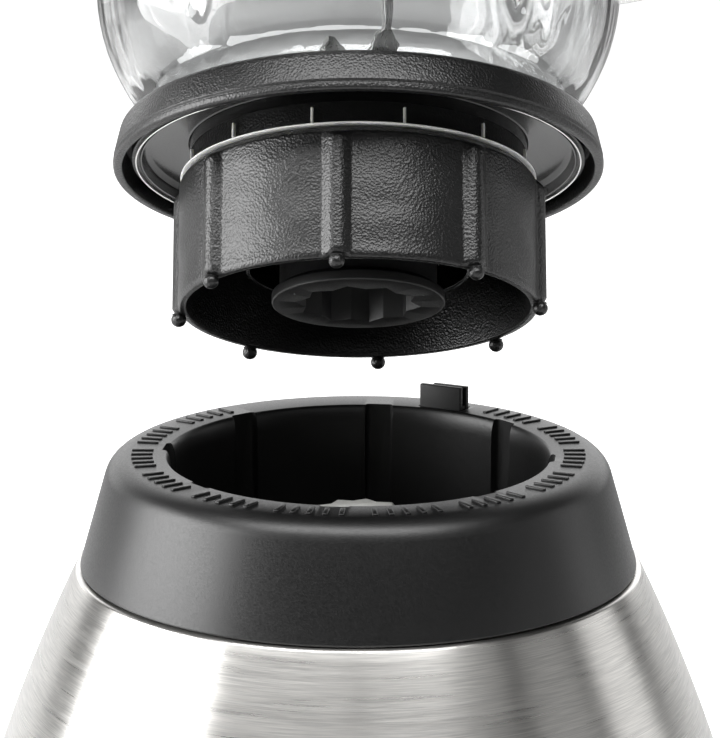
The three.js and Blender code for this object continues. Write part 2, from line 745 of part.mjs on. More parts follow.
// The black socket that drops over the motor's star.
function driveSocket() {
  const body = turned(
    [
      [SPINDLE_R + GAP, jarZ(-33.8)],
      [21.3, jarZ(-33.8)],
      [21.3, jarZ(-31)],
      [19.4, jarZ(-11.2)],
      [SPINDLE_R + GAP, jarZ(-11.2)],
    ],
    24,
  );
  const pocket = raised(
    starOutline(STAR_R + STAR_CLEARANCE, STAR_ROOT_R + STAR_CLEARANCE),
    jarZ(-35),
    jarZ(-14),
  );
  return cut(body, pocket);
}

// --------------------------------------------------------------------------------------- the lid

const LID_EDGE = JAR_HEIGHT + GAP;

function jarLid() {
  const top = JAR_HEIGHT + 13;
  const body = turned(
    [
      [70.5, jarZ(LID_EDGE)],
      [71, jarZ(LID_EDGE + 5)],
      [62, jarZ(top)],
      [25.5, jarZ(top)],
      [25.5, jarZ(JAR_HEIGHT + 1)],
      [28, jarZ(JAR_HEIGHT + 1)],
      [28, jarZ(top - 3.5)],
      [56, jarZ(top - 3.5)],
      [57, jarZ(JAR_HEIGHT - 12)],
      [59.4, jarZ(JAR_HEIGHT - 12)],
      [59.4, jarZ(JAR_HEIGHT - 7)],
      [57.8, jarZ(JAR_HEIGHT - 7)],
      [57.8, jarZ(JAR_HEIGHT - 3)],
      [59.4, jarZ(JAR_HEIGHT - 3)],
      [60, jarZ(LID_EDGE)],
    ],
    32,
  );
  const spoutCover = skinned(
    [LID_EDGE, LID_EDGE + 6].map((z) =>
      [[-60, -16], [-74, -10], [-80, 0], [-74, 10], [-60, 16]].map(
        ([x, y]) => new THREE.Vector3(x, y, jarZ(z)),
      ),
    ),
  );
  return join(body, spoutCover);
}

const lidSeal = () => ring(58.2, 62.4, jarZ(JAR_HEIGHT - 6.6), jarZ(JAR_HEIGHT - 3.4), 32);

function lidCap() {
  const base = JAR_HEIGHT - 6;
  const top = JAR_HEIGHT + 22;
  return turned(
    [
      [24.9, jarZ(JAR_HEIGHT + 13.4)],
      [29, jarZ(JAR_HEIGHT + 13.4)],
      [29, jarZ(JAR_HEIGHT + 15.4)],
      [24, jarZ(JAR_HEIGHT + 16)],
      [21.6, jarZ(top)],
      [0.5, jarZ(top)],
      [0.5, jarZ(top - 2)],
      [20.4, jarZ(top - 2)],
      [22.8, jarZ(base)],
      [24.9, jarZ(base)],
    ],
    24,
  );
}

// ------------------------------------------------------------------------------------- assembly

const base = new THREE.Group();
base.add(
  piece("steel_housing", steelHousing(), brushedSteel),
  piece("base_collar", baseCollar(), blackPlastic),
  piece("jar_key", jarKey(), blackPlastic),
  piece("lower_housing", lowerHousing(), blackPlastic),
  piece("bottom_cover", bottomCover(), texturedPlastic),
  piece("cord_inlet", cordInlet(), rubber),
  piece("control_panel", controlPanel(), blackPlastic),
  piece("switch_block", switchBlock(), texturedPlastic),
  piece("circuit_board", circuitBoard(), circuitGreen),
  ...BOSS_ANGLES.map((angle, k) => piece(`foot_${k + 1}`, foot(angle), rubber)),
  ...BOSS_ANGLES.map((angle, k) => piece(`cover_screw_${k + 1}`, coverScrew(angle), motorSteel)),
  ...Array.from({ length: BUTTON_COUNT }, (_, k) =>
    piece(`button_${k + 1}`, button(k), texturedPlastic),
  ),
);

const motor = new THREE.Group();
motor.add(
  piece("motor_shaft", motorShaft(), bladeSteel),
  piece("armature_core", armatureCore(), motorSteel),
  piece("armature_winding_lower", armatureWinding(39.5, STATOR_BOTTOM - GAP), copperWire),
  piece("armature_winding_upper", armatureWinding(STATOR_TOP + GAP, 84), copperWire),
  piece("commutator", commutator(), copperWire),
  piece("cooling_fan", coolingFan(), texturedPlastic),
  piece("drive_star", driveStar(), castMetal),
  piece("stator_core", statorCore(), motorSteel),
  piece("field_coil_left", fieldCoil(-1), copperWire),
  piece("field_coil_right", fieldCoil(1), copperWire),
  piece("lower_bracket", lowerBracket(), motorSteel),
  piece("upper_bracket", upperBracket(), motorSteel),
  piece("lower_bushing", lowerBushing(), bronze),
  piece("upper_bushing", upperBushing(), bronze),
  piece("motor_bolt_front", motorBolt(MOTOR_BOLTS[0]), motorSteel),
  piece("motor_bolt_rear", motorBolt(MOTOR_BOLTS[1]), motorSteel),
  piece("brush_holder_front", brushHolder(BRUSH_TURNS[0]), bronze),
  piece("brush_holder_rear", brushHolder(BRUSH_TURNS[1]), bronze),
  piece("brush_front", brush(BRUSH_TURNS[0]), carbon),
  piece("brush_rear", brush(BRUSH_TURNS[1]), carbon),
);

const degrees = THREE.MathUtils.degToRad;
const TALL_ARM = [[0, 0], [7, 0], [10.5, 4], [13.5, 18], [15.5, 32]];
const WIDE_ARM = [[0, 0], [9, 0], [20, 3.5], [32, 9]];
const LOW_ARM = [[0, 0], [9, 0], [20, -1.6], [31, -2.6]];

const seatedJar = new THREE.Group();
seatedJar.add(
  piece("jar_glass", jarGlass(), glass),
  piece("jar_collar", jarCollar(), texturedPlastic),
  piece("collar_ring", collarRing(), bladeSteel),
  piece("neck_seal", neckSeal(), silicone),
  piece("jar_gasket", jarGasket(), silicone),
  piece("blade_holder", bladeHolder(), blackPlastic),
  piece("blade_bushing", bladeBushing(), bronze),
  piece("spindle_seal", spindleSeal(), rubber),
  piece("blade_spindle", bladeSpindle(), bladeSteel),
  piece("blade_low", bladeStrip(LOW_ARM, jarZ(6.8), degrees(110), 9), bladeSteel),
  piece("blade_wide", bladeStrip(WIDE_ARM, jarZ(8.6), degrees(50), 9), bladeSteel),
  piece("blade_tall", bladeStrip(TALL_ARM, jarZ(10.4), degrees(-61), 6.5), bladeSteel),
  piece("blade_nut", bladeNut(), bladeSteel),
  piece("drive_socket", driveSocket(), texturedPlastic),
  piece("jar_lid", jarLid(), blackPlastic),
  piece("lid_seal", lidSeal(), rubber),
  piece("lid_cap", lidCap(), glass),
);

// The line behind the base about which the seated jar swings up and back.
seatedJar.position.set(0, -LIFT_AXIS_Y, -LIFT_AXIS_Z);
const liftedJar = new THREE.Group();
liftedJar.position.set(0, LIFT_AXIS_Y, LIFT_AXIS_Z);
liftedJar.rotation.x = -LIFT_ANGLE;
liftedJar.add(seatedJar);

const blender = new THREE.Group();
blender.add(base, motor, liftedJar);

export default blender;
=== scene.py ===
"""Looks of a countertop blender: smooth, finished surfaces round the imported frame.

Lengths are given in millimetres and turned to metres where a mesh is made. The jar's pieces are
modelled as if the jar were seated on the base, and are then tipped back with the jar's own joint.
"""
import json
import logging
import math
from collections.abc import Callable, Iterable, Sequence
from dataclasses import dataclass
from enum import Enum

import bpy
from mathutils import Matrix, Vector, noise


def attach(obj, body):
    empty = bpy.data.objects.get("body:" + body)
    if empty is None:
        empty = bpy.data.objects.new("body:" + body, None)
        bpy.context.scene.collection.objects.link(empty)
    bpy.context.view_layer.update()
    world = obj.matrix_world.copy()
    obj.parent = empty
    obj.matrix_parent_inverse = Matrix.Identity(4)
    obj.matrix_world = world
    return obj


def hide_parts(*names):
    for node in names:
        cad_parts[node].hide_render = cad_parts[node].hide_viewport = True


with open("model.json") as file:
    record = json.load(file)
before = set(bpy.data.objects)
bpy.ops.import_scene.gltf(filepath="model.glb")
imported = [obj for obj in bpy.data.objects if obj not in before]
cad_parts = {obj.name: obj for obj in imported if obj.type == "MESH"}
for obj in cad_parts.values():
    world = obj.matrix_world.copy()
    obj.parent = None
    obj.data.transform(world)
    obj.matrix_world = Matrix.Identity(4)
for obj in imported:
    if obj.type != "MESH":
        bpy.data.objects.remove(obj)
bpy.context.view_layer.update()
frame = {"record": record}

MM = 0.001
SEAM = 0.002 * MM
FULL_TURN = 2 * math.pi
BACK = math.pi
KEY_DIRECTION = math.radians(180 - 26)

Point = tuple[float, float]
Corner = tuple[float, float, float]
Triple = tuple[float, float, float]
Object = bpy.types.Object
Tree = bpy.types.NodeTree
Node = bpy.types.Node
Socket = bpy.types.NodeSocket

log = logging.getLogger("blender_looks")


class Body(Enum):
    """The moving bodies that a piece can ride on."""

    BASE = "base"
    ROTOR = "rotor"
    JAR = "jar"
    BLADES = "blades"
    LID = "lid"
    CAP = "cap"


class Cut(Enum):
    """The three ways in which one solid meets another."""

    JOIN = "UNION"
    REMOVE = "DIFFERENCE"
    KEEP_COMMON = "INTERSECT"


# ---- the frame


@dataclass(frozen=True)
class JarSeat:
    """Where the jar stands on the base, and how far it is tipped back at rest."""

    pivot: Vector
    angle: float
    ring_top: float = 140.0
    edge: float = 140.4

    @classmethod
    def from_frame(cls) -> "JarSeat":
        """Read the jar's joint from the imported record.

        Returns:
            The seat, with its pivot in metres and its angle in radians.
        """
        joints = frame["record"]["behaviour"]["joints"]
        lift = next(joint for joint in joints if joint["name"] == "jar_lift")
        return cls(pivot=Vector(lift["pos_m"]), angle=math.radians(-lift["range_deg"][0]))

    def tip(self) -> Matrix:
        """The move from the seated jar to the jar at rest."""
        there = Matrix.Translation(self.pivot)
        return there @ Matrix.Rotation(-self.angle, 4, "X") @ there.inverted()


SEAT = JarSeat.from_frame()

# ---- node materials


def linear(colour: str) -> tuple[float, float, float, float]:
    """Turn an sRGB hex colour into the linear one that a shader takes.

    Args:
        colour: six hex digits after a hash.

    Returns:
        Red, green, blue and a full alpha.
    """
    shares = [int(colour[i : i + 2], 16) / 255 for i in (1, 3, 5)]
    red, green, blue = [
        share / 12.92 if share <= 0.04045 else ((share + 0.055) / 1.055) ** 2.4 for share in shares
    ]
    return red, green, blue, 1.0


def add_node(tree: Tree, kind: str, inputs: dict | None = None, **settings) -> Node:
    """Add one node to a tree.

    Args:
        tree: the material's node tree.
        kind: the node's type name.
        inputs: a value or another node's socket for each input, by name or number.
        settings: the node's own properties.

    Returns:
        The new node.
    """
    node = tree.nodes.new(kind)
    for name, value in settings.items():
        setattr(node, name, value)
    for name, value in (inputs or {}).items():
        if isinstance(value, Socket):
            tree.links.new(value, node.inputs[name])
        else:
            node.inputs[name].default_value = value
    return node


def grain(tree: Tree, size: float | Triple, detail: float = 3.0) -> Socket:
    """Add a noise pattern with grains of a real size.

    Args:
        tree: the material's node tree.
        size: the grain in millimetres, the same all round or along X, Y and Z.
        detail: how many finer layers it has.

    Returns:
        The noise's value socket.
    """
    sizes = size if isinstance(size, tuple) else (size, size, size)
    place = add_node(tree, "ShaderNodeTexCoord").outputs["Object"]
    scaled = add_node(
        tree, "ShaderNodeMapping", {"Vector": place, "Scale": [1 / (one * MM) for one in sizes]}
    )
    pattern = add_node(
        tree, "ShaderNodeTexNoise", {"Vector": scaled.outputs[0], "Scale": 1.0, "Detail": detail}
    )
    return pattern.outputs["Fac"]


def between(tree: Tree, share: Socket, low: float, high: float) -> Socket:
    """Spread the middle of a noise over a range of values, and return the socket."""
    spread = add_node(
        tree,
        "ShaderNodeMapRange",
        {"Value": share, "From Min": 0.3, "From Max": 0.7, "To Min": low, "To Max": high},
    )
    return spread.outputs["Result"]


@dataclass(frozen=True)
class Finish:
    """A surface finish: what the real material is, and how its surface was made."""

    name: str
    slot: str
    colour: str
    roughness: float

    def material(self) -> bpy.types.Material:
        """The finish's material, made the first time that it is asked for."""
        known = bpy.data.materials.get(self.name)
        if known:
            return known
        made = bpy.data.materials.new(self.name)
        made.use_nodes = True
        shader = made.node_tree.nodes["Principled BSDF"]
        shader.inputs["Base Color"].default_value = linear(self.colour)
        shader.inputs["Roughness"].default_value = self.roughness
        self.dress(made.node_tree, shader)
        return made

    def dress(self, tree: Tree, shader: Node) -> None:
        """Add the finish's own pattern to the plain shader."""

    def tones(self, tree: Tree, shader: Node, shade: str, pattern: Socket) -> None:
        """Mix a darker shade and the finish's own colour by a pattern."""
        tone = add_node(tree, "ShaderNodeMix", data_type="RGBA")
        tree.links.new(between(tree, pattern, 0.0, 1.0), tone.inputs["Factor"])
        tone.inputs["A"].default_value = linear(shade)
        tone.inputs["B"].default_value = linear(self.colour)
        tree.links.new(tone.outputs["Result"], shader.inputs["Base Color"])

    def bump(self, tree: Tree, shader: Node, layers: Sequence[tuple]) -> None:
        """Roughen the surface with one bump after another.

        Args:
            tree: the material's node tree.
            shader: its surface shader.
            layers: a height socket, a depth in millimetres and a strength for each bump.
        """
        normal = None
        for height, depth, strength in layers:
            inputs = {"Height": height, "Distance": depth * MM, "Strength": strength}
            if normal:
                inputs["Normal"] = normal
            normal = add_node(tree, "ShaderNodeBump", inputs).outputs["Normal"]
        tree.links.new(normal, shader.inputs["Normal"])


@dataclass(frozen=True)
class Moulded(Finish):
    """Injection-moulded plastic or rubber, with the fine grain that the tool gave it."""

    shade: str = "#161616"
    grain_mm: float = 0.5
    depth_mm: float = 0.05
    patch_mm: float = 18.0
    strength: float = 0.35

    def dress(self, tree: Tree, shader: Node) -> None:
        """Vary the colour and gloss in soft patches, and raise the tool's grain."""
        patches = grain(tree, self.patch_mm, 2.0)
        self.tones(tree, shader, self.shade, patches)
        fine = grain(tree, self.grain_mm)
        gloss = between(tree, fine, self.roughness - 0.05, self.roughness + 0.06)
        tree.links.new(gloss, shader.inputs["Roughness"])
        self.bump(tree, shader, [(fine, self.depth_mm, self.strength)])


@dataclass(frozen=True)
class Leathered(Moulded):
    """Moulded plastic with an etched leather grain and the slight waves of a thick wall."""

    cell_mm: float = 0.55

    def dress(self, tree: Tree, shader: Node) -> None:
        """Add rounded cells of grain over the plain moulding."""
        super().dress(tree, shader)
        place = add_node(tree, "ShaderNodeTexCoord").outputs["Object"]
        cells = add_node(
            tree,
            "ShaderNodeTexVoronoi",
            {"Vector": place, "Scale": 1 / (self.cell_mm * MM), "Smoothness": 0.6},
            feature="SMOOTH_F1",
        )
        waves = grain(tree, (9.0, 9.0, 5.0), 1.0)
        fine = grain(tree, self.grain_mm)
        self.bump(
            tree,
            shader,
            [(waves, 0.35, 0.35), (cells.outputs["Distance"], 0.18, 0.6), (fine, 0.05, 0.4)],
        )


@dataclass(frozen=True)
class Metal(Finish):
    """Bare metal with a fine grain."""

    grain_mm: float | Triple = 0.6
    depth_mm: float = 0.02
    spread: float = 0.06

    def dress(self, tree: Tree, shader: Node) -> None:
        """Make the shader a metal whose gloss varies with the grain."""
        shader.inputs["Metallic"].default_value = 1.0
        marks = grain(tree, self.grain_mm)
        gloss = between(tree, marks, self.roughness - self.spread, self.roughness + self.spread)
        tree.links.new(gloss, shader.inputs["Roughness"])
        self.bump(tree, shader, [(marks, self.depth_mm, 0.3)])


@dataclass(frozen=True)
class Brushed(Metal):
    """Sheet brushed round its axis: long level scratches that draw each light into an upright band."""

    shade: str = "#b2b1af"
    line_mm: float = 0.2
    length_mm: float = 9.0
    anisotropy: float = 0.75

    def dress(self, tree: Tree, shader: Node) -> None:
        """Draw two sets of level scratches, coarse over fine.

        The real lines are about a tenth of a millimetre apart; they are drawn coarser, so that
        they show.
        """
        shader.inputs["Metallic"].default_value = 1.0
        shader.inputs["Anisotropic"].default_value = self.anisotropy
        shader.inputs["Anisotropic Rotation"].default_value = 0.25
        across = add_node(tree, "ShaderNodeTangent", direction_type="RADIAL", axis="Z")
        tree.links.new(across.outputs[0], shader.inputs["Tangent"])
        fine = grain(tree, (self.length_mm, self.length_mm, self.line_mm), 4.0)
        coarse = grain(tree, (5 * self.length_mm, 5 * self.length_mm, 5 * self.line_mm), 2.0)
        self.tones(tree, shader, self.shade, fine)
        gloss = between(tree, coarse, self.roughness - self.spread, self.roughness + self.spread)
        tree.links.new(gloss, shader.inputs["Roughness"])
        self.bump(tree, shader, [(fine, 0.006, 0.3)])


@dataclass(frozen=True)
class Clear(Finish):
    """Clear glass or plastic, with the faint swell that a mould leaves on its skin."""

    ior: float = 1.5
    swell_mm: float | Triple = 22.0
    swell_depth: float = 0.25

    def dress(self, tree: Tree, shader: Node) -> None:
        """Let the light through, and ripple the surface."""
        shader.inputs["Transmission Weight"].default_value = 1.0
        shader.inputs["IOR"].default_value = self.ior
        swell = grain(tree, self.swell_mm, 1.0)
        self.bump(tree, shader, [(swell, self.swell_depth, 0.5)])


@dataclass(frozen=True)
class Soft(Moulded):
    """Cast silicone, a little of the light going through it."""

    def dress(self, tree: Tree, shader: Node) -> None:
        """Scatter light under the moulded skin."""
        super().dress(tree, shader)
        shader.inputs["Subsurface Weight"].default_value = 0.4
        shader.inputs["Subsurface Radius"].default_value = (0.004, 0.004, 0.003)
        shader.inputs["Subsurface Scale"].default_value = 0.5


# Satin ABS from a spark-eroded tool: black, with a soft sheen on every rounded edge.
SATIN_ABS = Moulded(
    "satin_black_abs_moulded", "black_plastic", "#0b0b0b", 0.38, shade="#080808", depth_mm=0.03
)
# Glass-filled nylon with an etched leather grain: the sheen breaks into small cells.
GRAINED_NYLON = Leathered(
    "leather_grain_nylon_moulded", "textured_plastic", "#0e0e0e", 0.34, shade="#0a0a0a", grain_mm=0.35
)
# The same nylon where the tool was only bead blasted: dull and even.
BLASTED_NYLON = Moulded(
    "blasted_black_nylon_moulded", "textured_plastic", "#161616", 0.5, shade="#101010", grain_mm=0.4
)
# Glossy polypropylene keys, wiped clean: a sharper highlight.
KEY_PLASTIC = Moulded(
    "black_polypropylene_key", "textured_plastic", "#131313", 0.3, shade="#0f0f0f", depth_mm=0.02
)
# Acetal from a polished tool: deep black with clear reflections.
POLISHED_ACETAL = Moulded(
    "polished_black_acetal", "black_plastic", "#0b0b0b", 0.16, shade="#090909", depth_mm=0.015
)
# 304 stainless sheet, belt brushed round the cone: bright, with upright bands of light.
BRUSHED_STAINLESS = Brushed(
    "stainless_304_belt_brushed", "brushed_steel", "#d4d2ce", 0.30, spread=0.035
)
# Drawn stainless ring, polished: a bright line.
POLISHED_RING = Metal("stainless_ring_polished", "blade_steel", "#e2e2e0", 0.16, grain_mm=0.9)
# Blade stock, ground on a wheel and stamped: grey with fine cross marks.
GROUND_BLADE = Metal("blade_steel_ground", "blade_steel", "#a3a3a2", 0.30, (0.3, 4.0, 4.0), 0.03)
# Zinc die casting, tumbled: pale and dull, softly speckled.
TUMBLED_ZINC = Metal("zinc_die_cast_tumbled", "cast_metal", "#c3c3bf", 0.44, 0.7, 0.06, 0.1)
# Silicon steel and plated brackets: dark, slightly uneven.
PLATED_STEEL = Metal("plated_mild_steel", "motor_steel", "#7b7d80", 0.42, 1.2, 0.03, 0.1)
# Enamelled copper, varnished after winding.
VARNISHED_COPPER = Metal("varnished_copper_wire", "copper", "#a8592c", 0.36, (0.5, 0.5, 4.0), 0.08)
# Sintered bronze, full of oil.
OILED_BRONZE = Metal("oiled_sintered_bronze", "bronze", "#a8834a", 0.40, 0.4, 0.03)
# Pressed carbon: matt, nearly black.
PRESSED_CARBON = Moulded("pressed_carbon", "carbon", "#2c2c2e", 0.75, grain_mm=0.8)
# Natural rubber from a plain mould.
MOULDED_RUBBER = Moulded("black_rubber_moulded", "rubber", "#1a1a1a", 0.7, grain_mm=0.6)
# Food-grade silicone, milky.
MILKY_SILICONE = Soft("milky_silicone_cast", "silicone", "#e6e6e2", 0.38, shade="#d8d8d2")
# Epoxy laminate under green solder mask.
GREEN_LAMINATE = Moulded(
    "green_solder_mask", "circuit_board", "#2d6a3f", 0.35, shade="#24562f", grain_mm=1.2
)
# Soda-lime glass, pressed in an iron mould and fire polished: clear, with slow ripples.
PRESSED_GLASS = Clear(
    "soda_lime_glass_pressed", "clear_glass", "#f7f8f8", 0.0, 1.52, (8.0, 8.0, 60.0), 0.55
)
# Clear styrene acrylonitrile, moulded: as clear, a little softer.
CLEAR_SAN = Clear("clear_san_moulded", "clear_plastic", "#f4f7f7", 0.04, 1.57, swell_depth=0.1)

# ---- modelling tools


def deselect() -> None:
    """Leave edit mode and select nothing."""
    if bpy.context.object and bpy.context.object.mode != "OBJECT":
        bpy.ops.object.mode_set(mode="OBJECT")
    bpy.ops.object.select_all(action="DESELECT")


def pick(piece: Object) -> Object:
    """Select one piece alone and make it active."""
    deselect()
    piece.select_set(True)
    bpy.context.view_layer.objects.active = piece
    return piece


def apply_place(piece: Object) -> Object:
    """Put a piece's place, turn and size into its mesh."""
    pick(piece)
    bpy.ops.object.transform_apply(location=True, rotation=True, scale=True)
    return piece


def begun(name: str) -> Object:
    """Name the primitive that was just added, and put its place into its mesh."""
    piece = apply_place(bpy.context.object)
    piece.name = piece.data.name = name
    return piece


def edit(piece: Object) -> None:
    """Open a piece for editing, with all of it selected."""
    pick(piece)
    bpy.ops.object.mode_set(mode="EDIT")
    bpy.ops.mesh.select_all(action="SELECT")


def applied(piece: Object, kind: str, **settings) -> Object:
    """Give a piece a modifier and apply it.

    Args:
        piece: the piece.
        kind: the modifier's type.
        settings: its properties.

    Returns:
        The piece.
    """
    pick(piece)
    modifier = piece.modifiers.new(kind.lower(), kind)
    for name, value in settings.items():
        setattr(modifier, name, value)
    bpy.ops.object.modifier_apply(modifier=modifier.name)
    return piece


def rounded(corners: Sequence[Corner], closed: bool = True, steps: int = 5) -> list[Point]:
    """Round the corners of an outline.

    Args:
        corners: radius, height and rounding of each corner, in millimetres.
        closed: whether the last corner joins the first.
        steps: how many stretches a rounded corner has.

    Returns:
        The points of the outline.
    """
    points: list[Point] = []
    count = len(corners)
    for i, (r, z, rounding) in enumerate(corners):
        here = Vector((r, z))
        at_end = not closed and i in (0, count - 1)
        if rounding <= 0 or at_end:
            points.append((r, z))
            continue
        before = Vector(corners[i - 1][:2]) - here
        after = Vector(corners[(i + 1) % count][:2]) - here
        half = before.angle(after) / 2
        if half > math.radians(89):
            points.append((r, z))
            continue
        reach = min(rounding / math.tan(half), 0.48 * before.length, 0.48 * after.length)
        radius = reach * math.tan(half)
        before.normalize()
        after.normalize()
        middle = here + (before + after).normalized() * radius / math.sin(half)
        first = here + before * reach - middle
        last = here + after * reach - middle
        sweep = first.angle_signed(last)
        for k in range(steps + 1):
            turned = Matrix.Rotation(-sweep * k / steps, 2) @ first
            points.append((middle.x + turned.x, middle.y + turned.y))
    return points


def smooth_line(points: Sequence[Point], steps: int = 5) -> list[Point]:
    """Draw an even curve through a few points.

    Args:
        points: the points that the curve goes through.
        steps: how many stretches lie between two of them.

    Returns:
        The points of the curve.
    """
    line: list[Point] = []
    for i in range(len(points) - 1):
        a, b, c, d = (Vector(points[min(max(i + k, 0), len(points) - 1)]) for k in (-1, 0, 1, 2))
        for k in range(steps):
            t = k / steps
            bend, twist = 2 * a - 5 * b + 4 * c - d, 3 * b - a - 3 * c + d
            spot = 0.5 * (2 * b + (c - a) * t + bend * t**2 + twist * t**3)
            line.append((spot.x, spot.y))
    return [*line, tuple(points[-1])]


def turned(name: str, outline: Sequence[Point], segments: int = 128, closed: bool = True) -> Object:
    """Turn an outline about the upright axis: a circle is extruded and scaled along it.

    Args:
        name: the piece's name.
        outline: radius and height of each point, in millimetres, none of them on the axis.
        segments: how many stretches go round.
        closed: whether the outline closes on itself. An open one gets flat ends.

    Returns:
        The new piece.
    """
    deselect()
    line = [*outline, outline[0]] if closed else list(outline)
    radius, height = line[0]
    bpy.ops.mesh.primitive_circle_add(
        vertices=segments, radius=radius * MM, location=(0, 0, height * MM)
    )
    piece = begun(name)
    edit(piece)
    for (r0, z0), (r1, z1) in zip(line, line[1:]):
        bpy.ops.mesh.extrude_edges_move(TRANSFORM_OT_translate={"value": (0, 0, (z1 - z0) * MM)})
        bpy.ops.transform.resize(value=(r1 / r0, r1 / r0, 1), center_override=(0, 0, 0))
    bpy.ops.mesh.select_all(action="SELECT")
    if closed:
        bpy.ops.mesh.remove_doubles(threshold=SEAM)
    else:
        bpy.ops.mesh.fill_holes(sides=0)
    bpy.ops.mesh.normals_make_consistent(inside=False)
    bpy.ops.object.mode_set(mode="OBJECT")
    return piece


def blocky(name: str, low: Triple, high: Triple, edge: float = 0.0) -> Object:
    """Make a box between two corners, its edges bevelled.

    Args:
        name: the piece's name.
        low: the lowest corner, in millimetres.
        high: the highest corner.
        edge: the width of the bevel.

    Returns:
        The new piece.
    """
    deselect()
    middle = [(a + b) / 2 * MM for a, b in zip(low, high)]
    size = [(b - a) * MM for a, b in zip(low, high)]
    bpy.ops.mesh.primitive_cube_add(size=1, location=middle, scale=size)
    piece = begun(name)
    if edge:
        bevel(piece, edge, 3, 30)
    return piece


def pegged(name: str, radius: float, bottom: float, top: float, segments: int = 32) -> Object:
    """Make an upright cylinder on the axis, in millimetres."""
    deselect()
    bpy.ops.mesh.primitive_cylinder_add(
        vertices=segments,
        radius=radius * MM,
        depth=(top - bottom) * MM,
        location=(0, 0, (top + bottom) / 2 * MM),
    )
    return begun(name)


def star(
    name: str, tip: float, root: float, points: int, turn: float, levels: Sequence[Point]
) -> Object:
    """Make a pointed star by drawing in every other corner of a circle and extruding it.

    Args:
        name: the piece's name.
        tip: the radius of its points, in millimetres.
        root: the radius between them.
        points: how many there are.
        turn: the direction of one point, in radians from +X.
        levels: the height and the share of full size of each level, from the lowest up.

    Returns:
        The new piece.
    """
    deselect()
    bottom, share = levels[0]
    bpy.ops.mesh.primitive_circle_add(
        vertices=2 * points, radius=tip * share * MM, fill_type="NGON", location=(0, 0, bottom * MM)
    )
    piece = begun(name)
    first = piece.data.vertices[0].co
    start = math.atan2(first.y, first.x)
    for vertex in piece.data.vertices:
        vertex.select = vertex.index % 2 == 1
    for kind in (piece.data.edges, piece.data.polygons):
        for part in kind:
            part.select = False
    bpy.ops.object.mode_set(mode="EDIT")
    bpy.ops.transform.resize(value=(root / tip, root / tip, 1), center_override=(0, 0, 0))
    bpy.ops.mesh.select_all(action="SELECT")
    for (z0, s0), (z1, s1) in zip(levels, levels[1:]):
        bpy.ops.mesh.extrude_region_move(TRANSFORM_OT_translate={"value": (0, 0, (z1 - z0) * MM)})
        bpy.ops.transform.resize(value=(s1 / s0, s1 / s0, 1), center_override=(0, 0, 0))
    bpy.ops.mesh.select_all(action="SELECT")
    bpy.ops.mesh.normals_make_consistent(inside=False)
    bpy.ops.object.mode_set(mode="OBJECT")
    return moved(piece, Matrix.Rotation(turn - start, 4, "Z"))


def moved(piece: Object, move: Matrix) -> Object:
    """Move a piece and put the move into its mesh."""
    piece.matrix_world = move @ piece.matrix_world
    return apply_place(piece)


def tipped(piece: Object) -> Object:
    """Tip a piece of the seated jar back to where it is at rest."""
    return moved(piece, SEAT.tip())


def facing(angle: float) -> Matrix:
    """The turn from the front towards the right, by an angle in radians."""
    return Matrix.Rotation(angle, 4, "Z")


def even(count: int, first: float = 0.0) -> list[float]:
    """Directions evenly spread all round, in radians, from a first one."""
    return [first + k * FULL_TURN / count for k in range(count)]


def copied(piece: Object, name: str, move: Matrix) -> Object:
    """Copy a piece with its own mesh, and move the copy."""
    twin = piece.copy()
    twin.data = piece.data.copy()
    twin.name = twin.data.name = name
    bpy.context.collection.objects.link(twin)
    return moved(twin, move)


def merged(pieces: Sequence[Object], name: str) -> Object:
    """Put several pieces into one mesh."""
    deselect()
    for piece in pieces:
        piece.select_set(True)
    bpy.context.view_layer.objects.active = pieces[0]
    bpy.ops.object.join()
    whole = bpy.context.object
    whole.name = whole.data.name = name
    return whole


def round_about(piece: Object, name: str, angles: Iterable[float]) -> Object:
    """Copy a piece to each direction, join the copies and drop the pattern piece.

    Args:
        piece: the pattern, drawn at the front.
        name: the name of the whole.
        angles: the directions, in radians from the front towards the right.

    Returns:
        The joined copies.
    """
    copies = [copied(piece, f"{name}_{k}", facing(angle)) for k, angle in enumerate(angles)]
    bpy.data.objects.remove(piece)
    return merged(copies, name)


def meet(piece: Object, other: Object, how: Cut) -> Object:
    """Join, cut or trim a piece with another, which is used up.

    Args:
        piece: the piece that stays.
        other: the tool.
        how: what becomes of the two.

    Returns:
        The piece.
    """
    applied(piece, "BOOLEAN", object=other, operation=how.value, solver="EXACT")
    bpy.data.objects.remove(other)
    return piece


def bevel(piece: Object, width: float, steps: int = 2, limit: float = 35.0) -> Object:
    """Bevel the sharp edges of a piece.

    Args:
        piece: the piece.
        width: the bevel's width, in millimetres.
        steps: how many stretches it has.
        limit: the angle, in degrees, past which an edge is sharp.

    Returns:
        The piece.
    """
    return applied(
        piece,
        "BEVEL",
        width=width * MM,
        segments=steps,
        limit_method="ANGLE",
        angle_limit=math.radians(limit),
        use_clamp_overlap=True,
    )


def shaped(piece: Object, reach: Callable[[float, float, float], float]) -> Object:
    """Push each point of a piece out from the axis or in towards it.

    Args:
        piece: the piece.
        reach: gives the push in millimetres for a radius, height and direction from the front.

    Returns:
        The piece.
    """
    for vertex in piece.data.vertices:
        x, y, z = (value / MM for value in vertex.co)
        radius = math.hypot(x, y)
        push = reach(radius, z, math.atan2(x, -y))
        if push:
            vertex.co.x *= (radius + push) / radius
            vertex.co.y *= (radius + push) / radius
    piece.data.update()
    return piece


